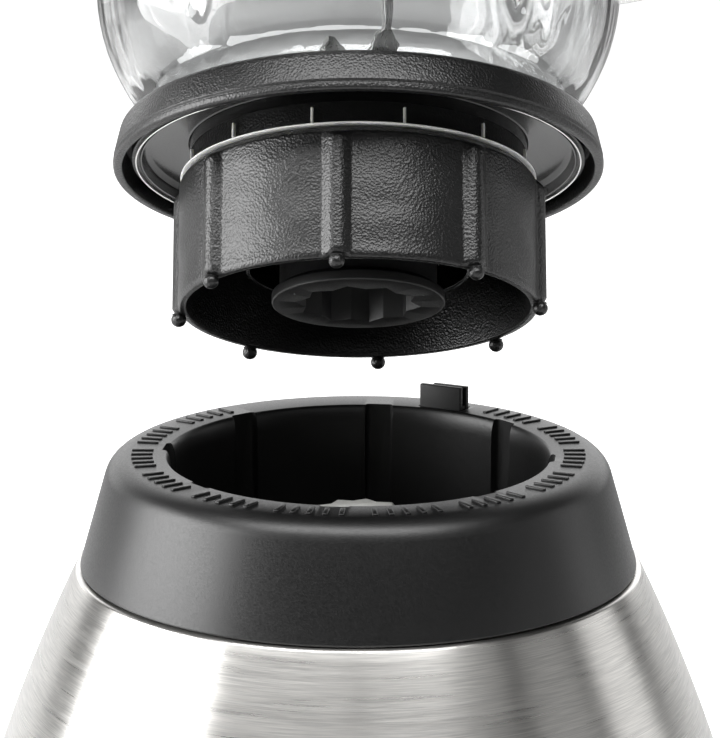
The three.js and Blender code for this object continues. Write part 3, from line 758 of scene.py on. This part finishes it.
def clean_copy(node: str, name: str) -> Object:
    """Copy a CAD node into a piece of its own, with its loose triangles merged.

    Args:
        node: the CAD node.
        name: the copy's name.

    Returns:
        The copy, whose flat faces are whole again.
    """
    source = bpy.data.objects[node]
    twin = source.copy()
    twin.data = source.data.copy()
    twin.parent = None
    twin.matrix_world = Matrix.Identity(4)
    twin.name = twin.data.name = name
    for key in list(twin.keys()):
        del twin[key]
    bpy.context.collection.objects.link(twin)
    edit(twin)
    bpy.ops.mesh.remove_doubles(threshold=2 * SEAM)
    bpy.ops.mesh.dissolve_limited(angle_limit=math.radians(1))
    bpy.ops.object.mode_set(mode="OBJECT")
    return twin


def finished(
    piece: Object, finish: Finish, body: Body | str, *nodes: str, sharp: float = 32.0
) -> Object:
    """Dress a finished piece, hang it on the body that it rides on, and hide the CAD nodes that it
    stands for.
        sharp: the angle, in degrees, up to which faces are shaded smooth.

    Returns:
        The piece.
    """
    pick(piece)
    bpy.ops.object.shade_smooth_by_angle(angle=math.radians(sharp))
    piece.data.materials.clear()
    piece.data.materials.append(finish.material())
    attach(piece, body.value if isinstance(body, Body) else body)
    if nodes:
        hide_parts(*nodes)
    log.info("%s: %d faces, %s", piece.name, len(piece.data.polygons), finish.name)
    return piece


def dressed(finish: Finish, *nodes: str) -> None:
    """Give CAD nodes whose shape stays a finish."""
    for node in nodes:
        piece = bpy.data.objects[node]
        piece.data.materials.clear()
        piece.data.materials.append(finish.material())


def smoothstep(low: float, high: float, value: float) -> float:
    """Rise evenly from 0 to 1 between two values."""
    share = min(max((value - low) / (high - low), 0.0), 1.0)
    return share * share * (3 - 2 * share)


def turn_from(a: float, b: float) -> float:
    """The shorter turn from one direction to another, in radians."""
    return math.atan2(math.sin(a - b), math.cos(a - b))


# ---- the base


@dataclass
class SeatRing:
    """The black ring on top of the base, with the well that takes the jar's skirt."""

    foot_r: float = 68.6
    foot: float = 112.6
    shoulder_r: float = 60.7
    shoulder_round: float = 6.5
    well_r: float = 46.1
    lip_reach: float = 1.4
    lip_drop: float = 5.4
    floor: float = 99.0
    hub_r: float = 12.6
    wall: float = 2.1
    groove_reach: float = 2.1
    groove_width: float = 7.0
    groove_count: int = 8
    groove_turn: float = math.radians(-6.5)
    tick_count: int = 90
    tick_group: int = 6
    tick_r: Point = (50.3, 55.6)
    tick_gap: float = math.radians(38)

    def ring(self) -> Object:
        """The ring and its well, turned in one, with eight grooves for the skirt's ribs."""
        top = SEAT.ring_top
        back = self.well_r + self.groove_reach + self.wall
        lip = [
            (
                self.well_r + self.lip_reach * (1 - math.cos(quarter)),
                top - self.lip_drop * (1 - math.sin(quarter)),
                0.0,
            )
            for quarter in (math.radians(90 - 9 * k) for k in range(11))
        ]
        corners = [
            (self.foot_r, self.foot, 0.5), (self.shoulder_r, top, self.shoulder_round), *lip,
            (self.well_r, self.floor, 2.0), (self.hub_r + 0.4, self.floor, 0.6),
            (self.hub_r - 0.2, self.floor + 9, 0.8), (5.9, self.floor + 9, 0.3),
            (5.9, self.floor - 3.5, 0.0), (back, self.floor - 3.5, 0.0), (back, top - 4, 0.0),
            (56, top - 3.2, 0.0), (59.8, top - 7, 0.0), (self.foot_r - 3, self.foot, 0.0),
        ]
        ring = turned("seat_ring", rounded(corners, steps=8), 256)
        groove = blocky(
            "groove",
            (-self.groove_width / 2, -self.well_r - self.groove_reach, self.floor + 2),
            (self.groove_width / 2, -self.well_r + 8, top + 2),
            0.9,
        )
        grooves = round_about(groove, "grooves", even(self.groove_count, self.groove_turn))
        meet(ring, grooves, Cut.REMOVE)
        slot = blocky("slot", (-6.3, -53.2, top - 8.3), (6.3, -48.0, top + 6))
        meet(ring, moved(slot, facing(KEY_DIRECTION)), Cut.REMOVE)
        bevel(ring, 0.35, 2, 40)
        return finished(ring, SATIN_ABS, Body.BASE, "base_collar")

    def ticks(self) -> Object:
        """Groups of small raised dashes round the flat of the ring, open at the back."""
        top = SEAT.ring_top
        inner, outer = self.tick_r
        tick = blocky("tick", (-0.6, -outer, top - 0.2), (0.6, -inner, top + 0.45), 0.2)
        angles = [a for k, a in enumerate(even(self.tick_count)) if k % self.tick_group]
        angles = [a for a in angles if abs(turn_from(a, BACK)) > self.tick_gap]
        return finished(round_about(tick, "ring_dashes", angles), SATIN_ABS, Body.BASE)

    def key(self) -> Object:
        """The interlock tab: two thin plates, a step apart, joined by a web."""
        top = SEAT.ring_top
        parts = [
            blocky("key", (-6.0, -52.8, top - 7.8), (3.6, -51.2, top + 5.6), 0.35),
            blocky("key_plate", (-5.6, -49.9, top - 7.8), (6.0, -48.4, top + 5.9), 0.35),
            blocky("key_web", (-1.2, -52.2, top - 7.8), (1.4, -49.0, top + 4.9), 0.1),
            blocky("key_foot", (-5.6, -52.6, top - 7.7), (5.6, -48.6, top + 0.7), 0.1),
        ]
        key = parts[0]
        for other in parts[1:]:
            meet(key, other, Cut.JOIN)
        return finished(moved(key, facing(KEY_DIRECTION)), BLASTED_NYLON, Body.BASE, "jar_key")




@dataclass
class Housing:
    """The steel cone and the black shell under it."""

    top_r: float = 69.5
    top: float = 112.3
    bottom: float = 46.0
    sheet: float = 0.9
    lower_r: float = 97.6
    panel_middle: float = 23.5
    panel_half_width: float = 53.0
    panel_half_height: float = 15.0
    button_count: int = 6
    button_pitch: float = math.radians(10)
    button_width: float = 12.0
    button_height: float = 18.0
    foot_circle: float = 80.0

    def flare(self, depth: float) -> float:
        """The cone's radius at a depth below its top, in millimetres."""
        return self.top_r + 0.49 * depth - 0.00155 * depth**2

    def cone(self) -> Object:
        """The steel cone, with its top turned in under the ring."""
        depths = [k / 24 * (self.top - self.bottom) for k in range(25)]
        outside = [(self.flare(d), self.top - d) for d in depths[1:]]
        inside = [(self.flare(d) - self.sheet, self.top - d) for d in reversed(depths[1:])]
        lip = rounded(
            [
                (inside[-1][0], inside[-1][1], 0.0),
                (self.top_r - self.sheet, self.top - self.sheet, 0.4),
                (64.5, self.top - self.sheet, 0.0), (64.5, self.top, 0.0),
                (self.top_r, self.top, 0.9), (outside[0][0], outside[0][1], 0.0),
            ],
            closed=False,
        )
        cone = turned("steel_cone", [*outside, *inside[:-1], *lip[:-1]], 256)
        return finished(cone, BRUSHED_STAINLESS, Body.BASE, "steel_housing")

    def lower(self) -> Object:
        """The black shell that carries the buttons."""
        r = self.lower_r
        corners = [
            (r - 2.6, self.bottom - 0.4, 1.2), (r, self.bottom - 6, 4.0), (r, 4.4, 3.0),
            (r - 4.2, 1.2, 1.5), (90.9, 1.2, 0.4), (r - 3, 5.6, 0.0),
            (r - 3, self.bottom - 7, 0.0), (r - 5, self.bottom - 0.4, 0.0),
        ]
        shell = turned("lower_shell", rounded(corners), 256)
        half_width, half_height = self.panel_half_width + 0.4, self.panel_half_height + 0.3
        window = blocky(
            "window",
            (-half_width, -r - 5, self.panel_middle - half_height),
            (half_width, -r + 25, self.panel_middle + half_height),
        )
        meet(shell, window, Cut.REMOVE)
        meet(shell, blocky("inlet_hole", (-8.3, r - 8, 12), (8.3, r + 4, 28.6)), Cut.REMOVE)
        bevel(shell, 0.3, 2, 40)
        return finished(shell, SATIN_ABS, Body.BASE, "lower_housing")

    def panel(self) -> Object:
        """The curved panel round the buttons."""
        r = self.lower_r
        low = self.panel_middle - self.panel_half_height
        high = self.panel_middle + self.panel_half_height
        corners = [(r - 3, low, 0.0), (r + 1.4, low, 1.0), (r + 1.4, high, 1.0), (r - 3, high, 0.0)]
        panel = turned("button_panel", rounded(corners), 256)
        half = self.panel_half_width
        meet(panel, blocky("keep", (-half, -r - 9, low - 5), (half, -60, high + 5)), Cut.KEEP_COMMON)
        hole = self.key_block("hole", 0.3, 0.9, r - 8, r + 6)
        angles = [self.button_angle(k) for k in range(self.button_count)]
        meet(panel, round_about(hole, "holes", angles), Cut.REMOVE)
        bevel(panel, 0.4, 2, 40)
        return finished(panel, BLASTED_NYLON, Body.BASE, "control_panel")

    def button_angle(self, k: int) -> float:
        """The direction of a button, in radians from the front."""
        return (k - (self.button_count - 1) / 2) * self.button_pitch

    def key_block(self, name: str, spare: float, edge: float, back: float, front: float) -> Object:
        """A block with a button's outline, between two distances from the axis."""
        half_width, half_height = self.button_width / 2 + spare, self.button_height / 2 + spare
        return blocky(
            name,
            (-half_width, -front, self.panel_middle - half_height),
            (half_width, -back, self.panel_middle + half_height),
            edge,
        )

    def buttons(self) -> None:
        """Six keys, each with a dished face and the flange that keeps it in the panel."""
        r = self.lower_r
        for k in range(self.button_count):
            key = self.key_block("key", 0.0, 1.1, r - 5.6, r + 3.4)
            dish = pegged("dish", 60.0, 0, 40, 96)
            moved(dish, Matrix.Translation((0, -(r + 3.4 + 59.2) * MM, 0)))
            meet(key, dish, Cut.REMOVE)
            low, high = self.panel_middle - 10, self.panel_middle + 10
            meet(key, blocky("flange", (-7, -r + 3.8, low), (7, -r + 5.4, high), 0.3), Cut.JOIN)
            key.name = key.data.name = f"key_{k + 1}"
            moved(key, facing(self.button_angle(k)))
            finished(key, KEY_PLASTIC, f"button_{k + 1}", f"button_{k + 1}")

    def feet(self) -> None:
        """Four soft feet with a dished sole."""
        corners = [
            (1.5, -3.2, 0.0), (5.2, -3.2, 0.6), (6.0, -4.0, 0.6),
            (8.0, -4.0, 1.0), (9.2, -0.3, 0.5), (1.5, -0.3, 0.0),
        ]
        for k, angle in enumerate(even(4, math.radians(45))):
            foot = turned(f"soft_foot_{k + 1}", rounded(corners, closed=False), 48, closed=False)
            place = Vector((math.sin(angle), -math.cos(angle), 0)) * self.foot_circle * MM
            finished(moved(foot, Matrix.Translation(place)), MOULDED_RUBBER, Body.BASE, f"foot_{k + 1}")


@dataclass
class Drive:
    """The two halves of the coupling between the motor and the blades."""

    points: int = 10
    tip: float = 14.3
    root: float = 11.9
    spare: float = 1.2
    turn: float = math.radians(8)
    top: float = 125.0
    height: float = 12.4

    def motor_star(self) -> Object:
        """The cast star on the motor's shaft, its points drawn in towards the top."""
        bottom = self.top - self.height
        levels = [(bottom, 1.0), (self.top - 3.4, 1.0), (self.top - 1.0, 0.88), (self.top, 0.82)]
        piece = star("motor_star", self.tip, self.root, self.points, self.turn, levels)
        meet(piece, pegged("bore", 4.3, bottom - 1, self.top - 2.7), Cut.REMOVE)
        meet(piece, pegged("dimple", 3.2, self.top - 0.8, self.top + 1), Cut.REMOVE)
        bevel(piece, 0.35, 3, 25)
        return finished(piece, TUMBLED_ZINC, Body.ROTOR, "drive_star")

    def socket(self) -> Object:
        """The black socket under the jar, with a star pocket and a broad flat rim."""
        edge = SEAT.edge
        corners = [
            (3.3, edge - 33.8, 0.0), (21.3, edge - 33.8, 0.5), (21.3, edge - 31.2, 0.7),
            (19.4, edge - 30.2, 0.6), (19.4, edge - 11.2, 0.5), (3.3, edge - 11.2, 0.0),
        ]
        piece = turned("coupling_socket", rounded(corners), 128)
        pocket = star(
            "pocket",
            self.tip + self.spare,
            self.root + self.spare,
            self.points,
            self.turn,
            [(edge - 35, 1.0), (edge - 14, 1.0)],
        )
        meet(piece, pocket, Cut.REMOVE)
        bevel(piece, 0.4, 2, 20)
        return finished(tipped(piece), BLASTED_NYLON, Body.BLADES, "drive_socket")


# ---- the jar


@dataclass
class Collar:
    """The jar's black collar: a flange that rests on the ring, over a ribbed skirt."""

    flange_r: float = 60.8
    flange_height: float = 10.8
    bead: float = 1.7
    neck_r: float = 39.2
    skirt_r: float = 44.3
    skirt_wall: float = 2.1
    skirt_depth: float = 35.3
    rib_count: int = 8
    rib_turn: float = math.radians(-6.5)
    rib_reach: float = 1.95
    rib_width: float = 7.0
    throat_r: float = 41.4
    dish_r: float = 54.2
    upright_count: int = 12

    def level(self, height: float) -> float:
        """A height above the flange's edge, counted from the origin."""
        return SEAT.edge + height

    def outline(self) -> list[Point]:
        """The collar's closed outline, with rows of points down the skirt for the ribs."""
        r, z = self.flange_r, self.level
        skirt_rows = [(self.skirt_r, z(-34.4 + 0.8 * k), 0.0) for k in range(37)]
        corners = [
            (r - 0.1, z(0), 0.8), (r, z(self.bead), 0.45), (r - 0.45, z(self.bead + 0.15), 0.1),
            (r - 0.45, z(self.bead + 0.4), 0.1), (r - 0.1, z(self.bead + 0.9), 0.3),
            (r - 1.9, z(self.flange_height), 2.6),
            (self.neck_r + 0.5, z(self.flange_height), 0.8), (self.neck_r + 0.5, z(-11.1), 0.0),
            (30, z(-11.1), 0.0), (30, z(-13.8), 0.3),
            (self.skirt_r - self.skirt_wall, z(-13.8), 1.5),
            (self.skirt_r - self.skirt_wall, z(-self.skirt_depth), 0.5),
            (self.skirt_r - 0.5, z(-self.skirt_depth), 0.6), *skirt_rows,
            (self.skirt_r, z(-4.4), 1.0), (self.skirt_r - 1.2, z(-2.7), 0.5),
            (self.throat_r, z(-2.7), 0.2), (self.throat_r, z(8), 1.0), (self.dish_r, z(7), 1.5),
            (self.dish_r, z(2.5), 0.2), (56.2, z(2.5), 0.2), (56.2, z(7.6), 0.5),
            (r - 2.3, z(7.6), 0.5), (r - 2.3, z(0), 0.5),
        ]
        return rounded(corners, steps=5)

    def swell(self, radius: float, height: float, direction: float) -> float:
        """How far the skirt stands out: its ribs, and the slow waves of the wall between them."""
        low = height - self.level(-self.skirt_depth)
        high = self.level(-4.0) - height
        if radius < self.skirt_r - 0.6 or radius > self.skirt_r + 0.2 or low < 0.2 or high < -0.5:
            return 0.0
        step = FULL_TURN / self.rib_count
        offset = (direction - self.rib_turn + step / 2) % step - step / 2
        side = abs(offset) * self.skirt_r / (self.rib_width / 2)
        rounding = smoothstep(-0.6, 1.6, high) * smoothstep(-0.2, 1.4, low)
        rib = self.rib_reach * max(1 - side**2, 0.0) ** 1.15 * rounding
        spot = Vector((math.sin(direction) * 3.0, math.cos(direction) * 3.0, height / 7.0))
        wave = 0.3 * noise.noise(spot) * smoothstep(0.0, 5.0, high) * smoothstep(0.0, 3.0, low)
        return rib + min(wave * (1 - math.exp(-(side**2) / 4)), 0.25)

    def body(self) -> Object:
        """The collar itself."""
        collar = shaped(turned("jar_screw_collar", self.outline(), 600), self.swell)
        return finished(tipped(collar), GRAINED_NYLON, Body.JAR, "jar_collar", sharp=40)

    def dish(self) -> Object:
        """The glossy underside of the flange, curved up to the skirt."""
        z = self.level
        corners = [
            (self.dish_r - 0.15, z(2.4), 0.0), (self.dish_r - 0.15, z(6.4), 3.6),
            (self.throat_r + 0.2, z(7.7), 0.6), (self.throat_r + 0.2, z(4.0), 0.0),
            (self.throat_r + 0.5, z(4.0), 0.0), (self.throat_r + 0.5, z(7.4), 0.6),
            (self.dish_r - 0.5, z(6.1), 3.4), (self.dish_r - 0.5, z(2.4), 0.0),
        ]
        dish = turned("flange_dish", rounded(corners, steps=8), 192)
        return finished(tipped(dish), POLISHED_ACETAL, Body.JAR)

    def pips(self) -> Object:
        """The small round pips under the ribs' feet."""
        bottom = self.level(-self.skirt_depth)
        ball = [
            (1.9 * math.sin(quarter), bottom - 1.0 - 1.8 * math.cos(quarter))
            for quarter in (math.radians(8 + 12 * k) for k in range(11))
        ]
        pip = turned("pip", [*ball, (1.7, bottom + 0.3), (0.4, bottom + 0.3)], 24, closed=False)
        moved(pip, Matrix.Translation((0, -(self.skirt_r + 0.3) * MM, 0)))
        pips = round_about(pip, "skirt_pips", even(self.rib_count, self.rib_turn))
        return finished(tipped(pips), GRAINED_NYLON, Body.JAR, sharp=50)

    def bright_ring(self) -> Object:
        """The thin polished ring let into the underside of the flange."""
        z = self.level
        corners = [(54.9, z(1.7), 0.2), (55.4, z(1.7), 0.2), (55.4, z(2.3), 0.0), (54.9, z(2.3), 0.0)]
        ring = turned("polished_ring", rounded(corners, steps=4), 256)
        return finished(tipped(ring), POLISHED_RING, Body.JAR, "collar_ring")

    def seal(self) -> Object:
        """The pale seal over the skirt, with its small uprights."""
        z, inner = self.level, self.throat_r + 0.3
        outer = self.skirt_r - 0.2
        low, high = z(-2.3), z(-1.9)
        corners = [(inner, low, 0.0), (outer, low, 0.2), (outer, high, 0.2), (inner, high, 0.0)]
        band = turned("sealing_band", rounded(corners, steps=3), 256)
        upright = blocky("upright", (-0.3, -inner - 0.9, z(-2.0)), (0.3, -inner - 0.1, z(2.6)), 0.12)
        angles = even(self.upright_count, math.pi / self.upright_count)
        meet(band, round_about(upright, "uprights", angles), Cut.JOIN)
        return finished(tipped(band), MILKY_SILICONE, Body.JAR, "neck_seal")

    def holder(self) -> Object:
        """The polished black holder that closes the jar and carries the blades' spindle."""
        z = self.level
        corners = [
            (6.9, z(-9.6), 0.0), (26.6, z(-10.8), 0.8), (26.6, z(-25.5), 0.4),
            (28.0, z(-25.5), 0.6), (28.0, z(-10.8), 0.6), (self.neck_r - 0.1, z(-10.8), 0.3),
            (self.neck_r - 0.1, z(-7.8), 0.4), (24, z(-7.8), 2.0), (15, z(-4), 3.0),
            (12, z(5), 1.0), (6.9, z(6), 0.3),
        ]
        holder = turned("blade_carrier", rounded(corners), 160)
        return finished(tipped(holder), POLISHED_ACETAL, Body.JAR, "blade_holder")


@dataclass
class Jar:
    """The clear glass jar with its handle."""

    height: float = 205.0
    wall: float = 3.6
    neck_r: float = 39.1
    spout_reach: float = 9.0
    spout_spread: float = 0.26
    flute_reach: float = 3.4
    flute_spread: float = 0.13
    lobe_reach: float = 0.9
    lobe_spread: float = 0.1
    outside: tuple[Point, ...] = (
        (41.5, 11.6), (54.0, 17.9), (59.6, 25.0), (64.2, 36.2), (65.8, 50.0), (63.4, 72.0),
        (58.6, 92.0), (57.0, 112.0), (57.8, 135.0), (60.4, 160.0), (64.4, 187.0), (66.6, 203.4),
    )
    handle_path: tuple[Point, ...] = (
        (60, 50), (78, 54), (97, 68), (103, 100), (102, 138), (92, 165), (61, 174),
    )

    def outline(self) -> list[Point]:
        """The wall's closed outline: down the inside, and up the outside."""
        z = SEAT.edge
        outer = [(r, z + h) for r, h in smooth_line(self.outside, 4)]
        inner = [(r - self.wall, z + h) for r, h in smooth_line(self.outside[1:], 4)]
        lip = rounded(
            [
                (outer[-1][0], outer[-1][1], 0.0), (67.4, z + self.height, 1.6),
                (67.0 - self.wall, z + self.height, 1.6), (inner[-1][0], inner[-1][1], 0.0),
            ],
            closed=False,
        )
        bore = self.neck_r - self.wall
        neck = rounded(
            [
                (inner[0][0], inner[0][1], 0.0), (45.0, z + 16.4, 2.0), (bore, z + 13.2, 2.5),
                (bore, z - 5.4, 0.8), (self.neck_r, z - 5.4, 0.8), (self.neck_r, z + 11.2, 0.8),
                (outer[0][0], outer[0][1], 0.0),
            ],
            closed=False,
        )
        return [*outer[1:-1], *lip, *reversed(inner[1:-1]), *neck]

    def mould(self, radius: float, height: float, direction: float) -> float:
        """How far the wall stands from round: its spout, its inner flutes and its outer lobes."""
        h = height - SEAT.edge
        rise = smoothstep(self.height - 45, self.height, h)
        side = turn_from(direction, -math.pi / 2)
        lip = self.spout_reach * rise * math.exp(-((side / self.spout_spread) ** 2))
        skin = next((r for r, level in self.curve if level >= h), self.outside[-1][0])
        share = smoothstep(18, 34, h) * (1 - smoothstep(130, 160, h))
        corner = min(abs(turn_from(direction, math.radians(a))) for a in (45, 135, 225, 315))
        if radius < skin - self.wall / 2:
            return lip - self.flute_reach * share * math.exp(-((corner / self.flute_spread) ** 2))
        return lip - self.lobe_reach * share * math.exp(-((corner / self.lobe_spread) ** 2))

    @property
    def curve(self) -> list[Point]:
        """The outside's radius and height above the flange's edge, from the neck up."""
        if not hasattr(self, "_curve"):
            self._curve = smooth_line(self.outside, 4)
        return self._curve

    def handle(self) -> Object:
        """A flattened loop of glass, drawn along a smooth path."""
        path = smooth_line(self.handle_path, 8)
        curve = bpy.data.curves.new("handle_path", "CURVE")
        curve.dimensions = "3D"
        curve.bevel_depth = 4.6 * MM
        curve.bevel_resolution = 6
        curve.use_fill_caps = True
        spline = curve.splines.new("POLY")
        spline.points.add(len(path) - 1)
        for point, (x, h) in zip(spline.points, path):
            point.co = (x * MM, 0, (SEAT.edge + h) * MM, 1)
        loop = bpy.data.objects.new("handle", curve)
        bpy.context.collection.objects.link(loop)
        loop.scale = (1, 2.05, 1)
        pick(loop)
        bpy.ops.object.convert(target="MESH")
        loop = apply_place(bpy.context.object)
        edit(loop)
        bpy.ops.mesh.remove_doubles(threshold=SEAM)
        bpy.ops.mesh.normals_make_consistent(inside=False)
        bpy.ops.object.mode_set(mode="OBJECT")
        return loop

    def body(self) -> Object:
        """The jar and its handle, in one."""
        jar = shaped(turned("glass_jar", self.outline(), 160), self.mould)
        meet(jar, self.handle(), Cut.JOIN)
        return finished(tipped(jar), PRESSED_GLASS, Body.JAR, "jar_glass", sharp=60)


@dataclass
class Lid:
    """The black lid and the clear cap in it."""

    jar_height: float = 205.0

    def lid(self) -> Object:
        """The lid, with a nose over the spout."""
        z = SEAT.edge + self.jar_height
        corners = [
            (70.5, z + 0.3, 0.8), (71.0, z + 5, 2.5), (62, z + 13, 5.0), (25.5, z + 13, 1.0),
            (25.5, z + 1, 0.3), (28, z + 1, 0.3), (28, z + 9.5, 1.0), (56, z + 9.5, 1.5),
            (57, z - 12, 0.4), (59.4, z - 12, 0.6), (59.4, z - 7, 0.2), (57.8, z - 7, 0.0),
            (57.8, z - 3, 0.0), (59.4, z - 3, 0.2), (60, z + 0.3, 0.3),
        ]
        lid = turned("jar_cover", rounded(corners), 192)
        nose = blocky("nose", (-79.5, -11, z + 0.3), (-62, 11, z + 6), 2.4)
        meet(lid, nose, Cut.JOIN)
        return finished(tipped(lid), SATIN_ABS, Body.LID, "jar_lid")

    def cap(self) -> Object:
        """The clear cap, a small measuring cup upside down."""
        z = SEAT.edge + self.jar_height
        corners = [
            (24.9, z + 13.4, 0.3), (29, z + 13.4, 0.6), (29, z + 15.4, 0.8), (24, z + 16, 1.2),
            (21.6, z + 22, 2.2), (0.5, z + 22, 0.0), (0.5, z + 20, 0.0), (20.4, z + 20, 1.6),
            (22.8, z - 6, 0.3), (24.9, z - 6, 0.4),
        ]
        cap = turned("measuring_cap", rounded(corners), 128)
        return finished(tipped(cap), CLEAR_SAN, Body.CAP, "lid_cap")


@dataclass
class Inner:
    """The blades and the parts that stay as the CAD made them."""

    def blades(self) -> None:
        """Soften the edges of the stamped blades and the nut."""
        for node in ("blade_low", "blade_wide", "blade_tall", "blade_nut"):
            blade = bevel(clean_copy(node, f"{node}_ground"), 0.3, 2, 30)
            finished(blade, GROUND_BLADE, Body.BLADES, node)

    def rest(self) -> None:
        """Dress every CAD node that stays."""
        dressed(BLASTED_NYLON, "bottom_cover", "switch_block", "cooling_fan")
        dressed(MOULDED_RUBBER, "cord_inlet", "spindle_seal", "lid_seal")
        dressed(PLATED_STEEL, *(f"cover_screw_{k}" for k in range(1, 5)))
        dressed(PLATED_STEEL, "armature_core", "stator_core")
        dressed(PLATED_STEEL, "lower_bracket", "upper_bracket", "motor_bolt_front", "motor_bolt_rear")
        dressed(GROUND_BLADE, "motor_shaft", "blade_spindle")
        dressed(VARNISHED_COPPER, "armature_winding_lower", "armature_winding_upper", "commutator")
        dressed(VARNISHED_COPPER, "field_coil_left", "field_coil_right")
        dressed(OILED_BRONZE, "lower_bushing", "upper_bushing", "blade_bushing")
        dressed(OILED_BRONZE, "brush_holder_front", "brush_holder_rear")
        dressed(PRESSED_CARBON, "brush_front", "brush_rear")
        dressed(MILKY_SILICONE, "jar_gasket")
        dressed(GREEN_LAMINATE, "circuit_board")


# ---- the studio


@dataclass
class Studio:
    """The plain floor, the soft lights and the camera."""

    floor_level: float = -4.0
    aim: Triple = (0.4, 0.0, 161.0)
    pitch: float = math.radians(13.68)
    distance: float = 780.1
    focal_share: float = 4.45
    box_reach: float = 1.3
    box_aim: float = 0.16
    boxes: tuple[tuple[str, float, float, Point, float], ...] = (
        ("left_front", -72, 12, (0.64, 0.9), 16.5),
        ("left_rear", -96, 12, (0.56, 0.9), 13.0),
        ("rear_left", -140, 4, (0.5, 0.4), 0.3),
        ("right_rear", 105, 8, (0.5, 0.7), 1.4),
        ("right_front", 75, 12, (0.5, 0.8), 0.5),
        ("front_left", -30, 29, (1.2, 0.4), 1.0),
        ("front_right", 30, 29, (1.2, 0.4), 0.9),
        ("top", -10, 66, (1.7, 0.6), 28.0),
    )
    room_glow: float = 0.03
    wall_glow: float = 2.0
    seen_glow: float = 0.85
    wall_from: float = 0.6
    wall_to: float = 0.85
    paper_glow: float = 0.8

    def stage(self) -> None:
        """A pale seamless floor, bright to the eye but giving the blender no light of its own."""
        deselect()
        bpy.ops.mesh.primitive_plane_add(size=60, location=(0, 0, self.floor_level * MM))
        floor = bpy.context.object
        floor.name = "floor"
        paper = bpy.data.materials.new("white_seamless_paper")
        paper.use_nodes = True
        tree = paper.node_tree
        shader = tree.nodes["Principled BSDF"]
        shader.inputs["Base Color"].default_value = linear("#e8e8e8")
        shader.inputs["Roughness"].default_value = 0.9
        shader.inputs["Emission Color"].default_value = (1.0, 1.0, 1.0, 1.0)
        seen = add_node(tree, "ShaderNodeLightPath")
        glow = add_node(
            tree,
            "ShaderNodeMath",
            {0: seen.outputs["Is Camera Ray"], 1: self.paper_glow},
            operation="MULTIPLY",
        )
        tree.links.new(glow.outputs[0], shader.inputs["Emission Strength"])
        floor.data.materials.append(paper)

    def light(self, name: str, azimuth: float, elevation: float, size: Point, watts: float) -> None:
        """Hang one soft box, turned towards the middle of the blender.

        Args:
            name: the light's name.
            azimuth: where it hangs, in degrees round from the front, to the right.
            elevation: how far up it hangs, in degrees.
            size: its width and height, in metres.
            watts: its power.
        """
        lamp = bpy.data.lights.new(name, "AREA")
        lamp.shape = "RECTANGLE"
        lamp.size, lamp.size_y = size
        lamp.energy = watts
        round_by, up_by = math.radians(azimuth), math.radians(elevation)
        level = math.cos(up_by)
        aim = Vector((0, 0, self.box_aim))
        away = Vector((math.sin(round_by) * level, -math.cos(round_by) * level, math.sin(up_by)))
        box = bpy.data.objects.new(name, lamp)
        box.location = aim + away * self.box_reach
        box.rotation_euler = (-away).to_track_quat("-Z", "Y").to_euler()
        bpy.context.collection.objects.link(box)

    def lights(self) -> None:
        """A strong soft box on the left, weak ones all round, and a white wall behind."""
        for box in self.boxes:
            self.light(*box)
        room = bpy.data.worlds.new("pale_room")
        room.use_nodes = True
        tree = room.node_tree
        tree.nodes.clear()
        seen = add_node(tree, "ShaderNodeLightPath")
        toward = add_node(tree, "ShaderNodeTexCoord").outputs["Generated"]
        depth = add_node(tree, "ShaderNodeSeparateXYZ", {"Vector": toward}).outputs["Y"]
        glow = add_node(
            tree,
            "ShaderNodeMix",
            {"Factor": seen.outputs["Is Transmission Ray"], "A": self.wall_glow, "B": self.seen_glow},
        ).outputs[0]
        wall = add_node(
            tree,
            "ShaderNodeMapRange",
            {
                "Value": depth,
                "From Min": self.wall_from,
                "From Max": self.wall_to,
                "To Min": self.room_glow,
                "To Max": glow,
            },
        ).outputs["Result"]
        strength = add_node(
            tree,
            "ShaderNodeMix",
            {"Factor": seen.outputs["Is Camera Ray"], "A": wall, "B": 1.0},
        )
        sky = add_node(
            tree,
            "ShaderNodeBackground",
            {"Color": (1.0, 1.0, 1.0, 1.0), "Strength": strength.outputs[0]},
        )
        add_node(tree, "ShaderNodeOutputWorld", {"Surface": sky.outputs[0]})
        bpy.context.scene.world = room

    def camera(self) -> None:
        """A long lens, a little above the ring, aimed between the ring and the jar."""
        lens = bpy.data.cameras.new("camera")
        lens.sensor_fit = "HORIZONTAL"
        lens.sensor_width = 36.0
        lens.lens = self.focal_share * lens.sensor_width
        lens.clip_end = 100.0
        eye = bpy.data.objects.new("camera", lens)
        forward = Vector((0, math.cos(self.pitch), -math.sin(self.pitch)))
        eye.location = Vector(self.aim) * MM - forward * self.distance * MM
        eye.rotation_euler = (math.pi / 2 - self.pitch, 0, 0)
        bpy.context.collection.objects.link(eye)
        bpy.context.scene.camera = eye


def main() -> None:
    """Build the blender's looks, sub-assembly by sub-assembly."""
    logging.basicConfig(level=logging.INFO, format="%(message)s")
    studio = Studio()
    studio.camera()
    studio.stage()
    studio.lights()
    bpy.context.scene.view_settings.view_transform = "Standard"
    ring = SeatRing()
    ring.ring()
    ring.ticks()
    ring.key()
    housing = Housing()
    housing.cone()
    housing.lower()
    housing.panel()
    housing.buttons()
    housing.feet()
    drive = Drive()
    drive.motor_star()
    drive.socket()
    collar = Collar()
    collar.body()
    collar.dish()
    collar.pips()
    collar.bright_ring()
    collar.seal()
    collar.holder()
    Jar().body()
    lid = Lid()
    lid.lid()
    lid.cap()
    inner = Inner()
    inner.blades()
    inner.rest()


if __name__ == "__main__":
    main()
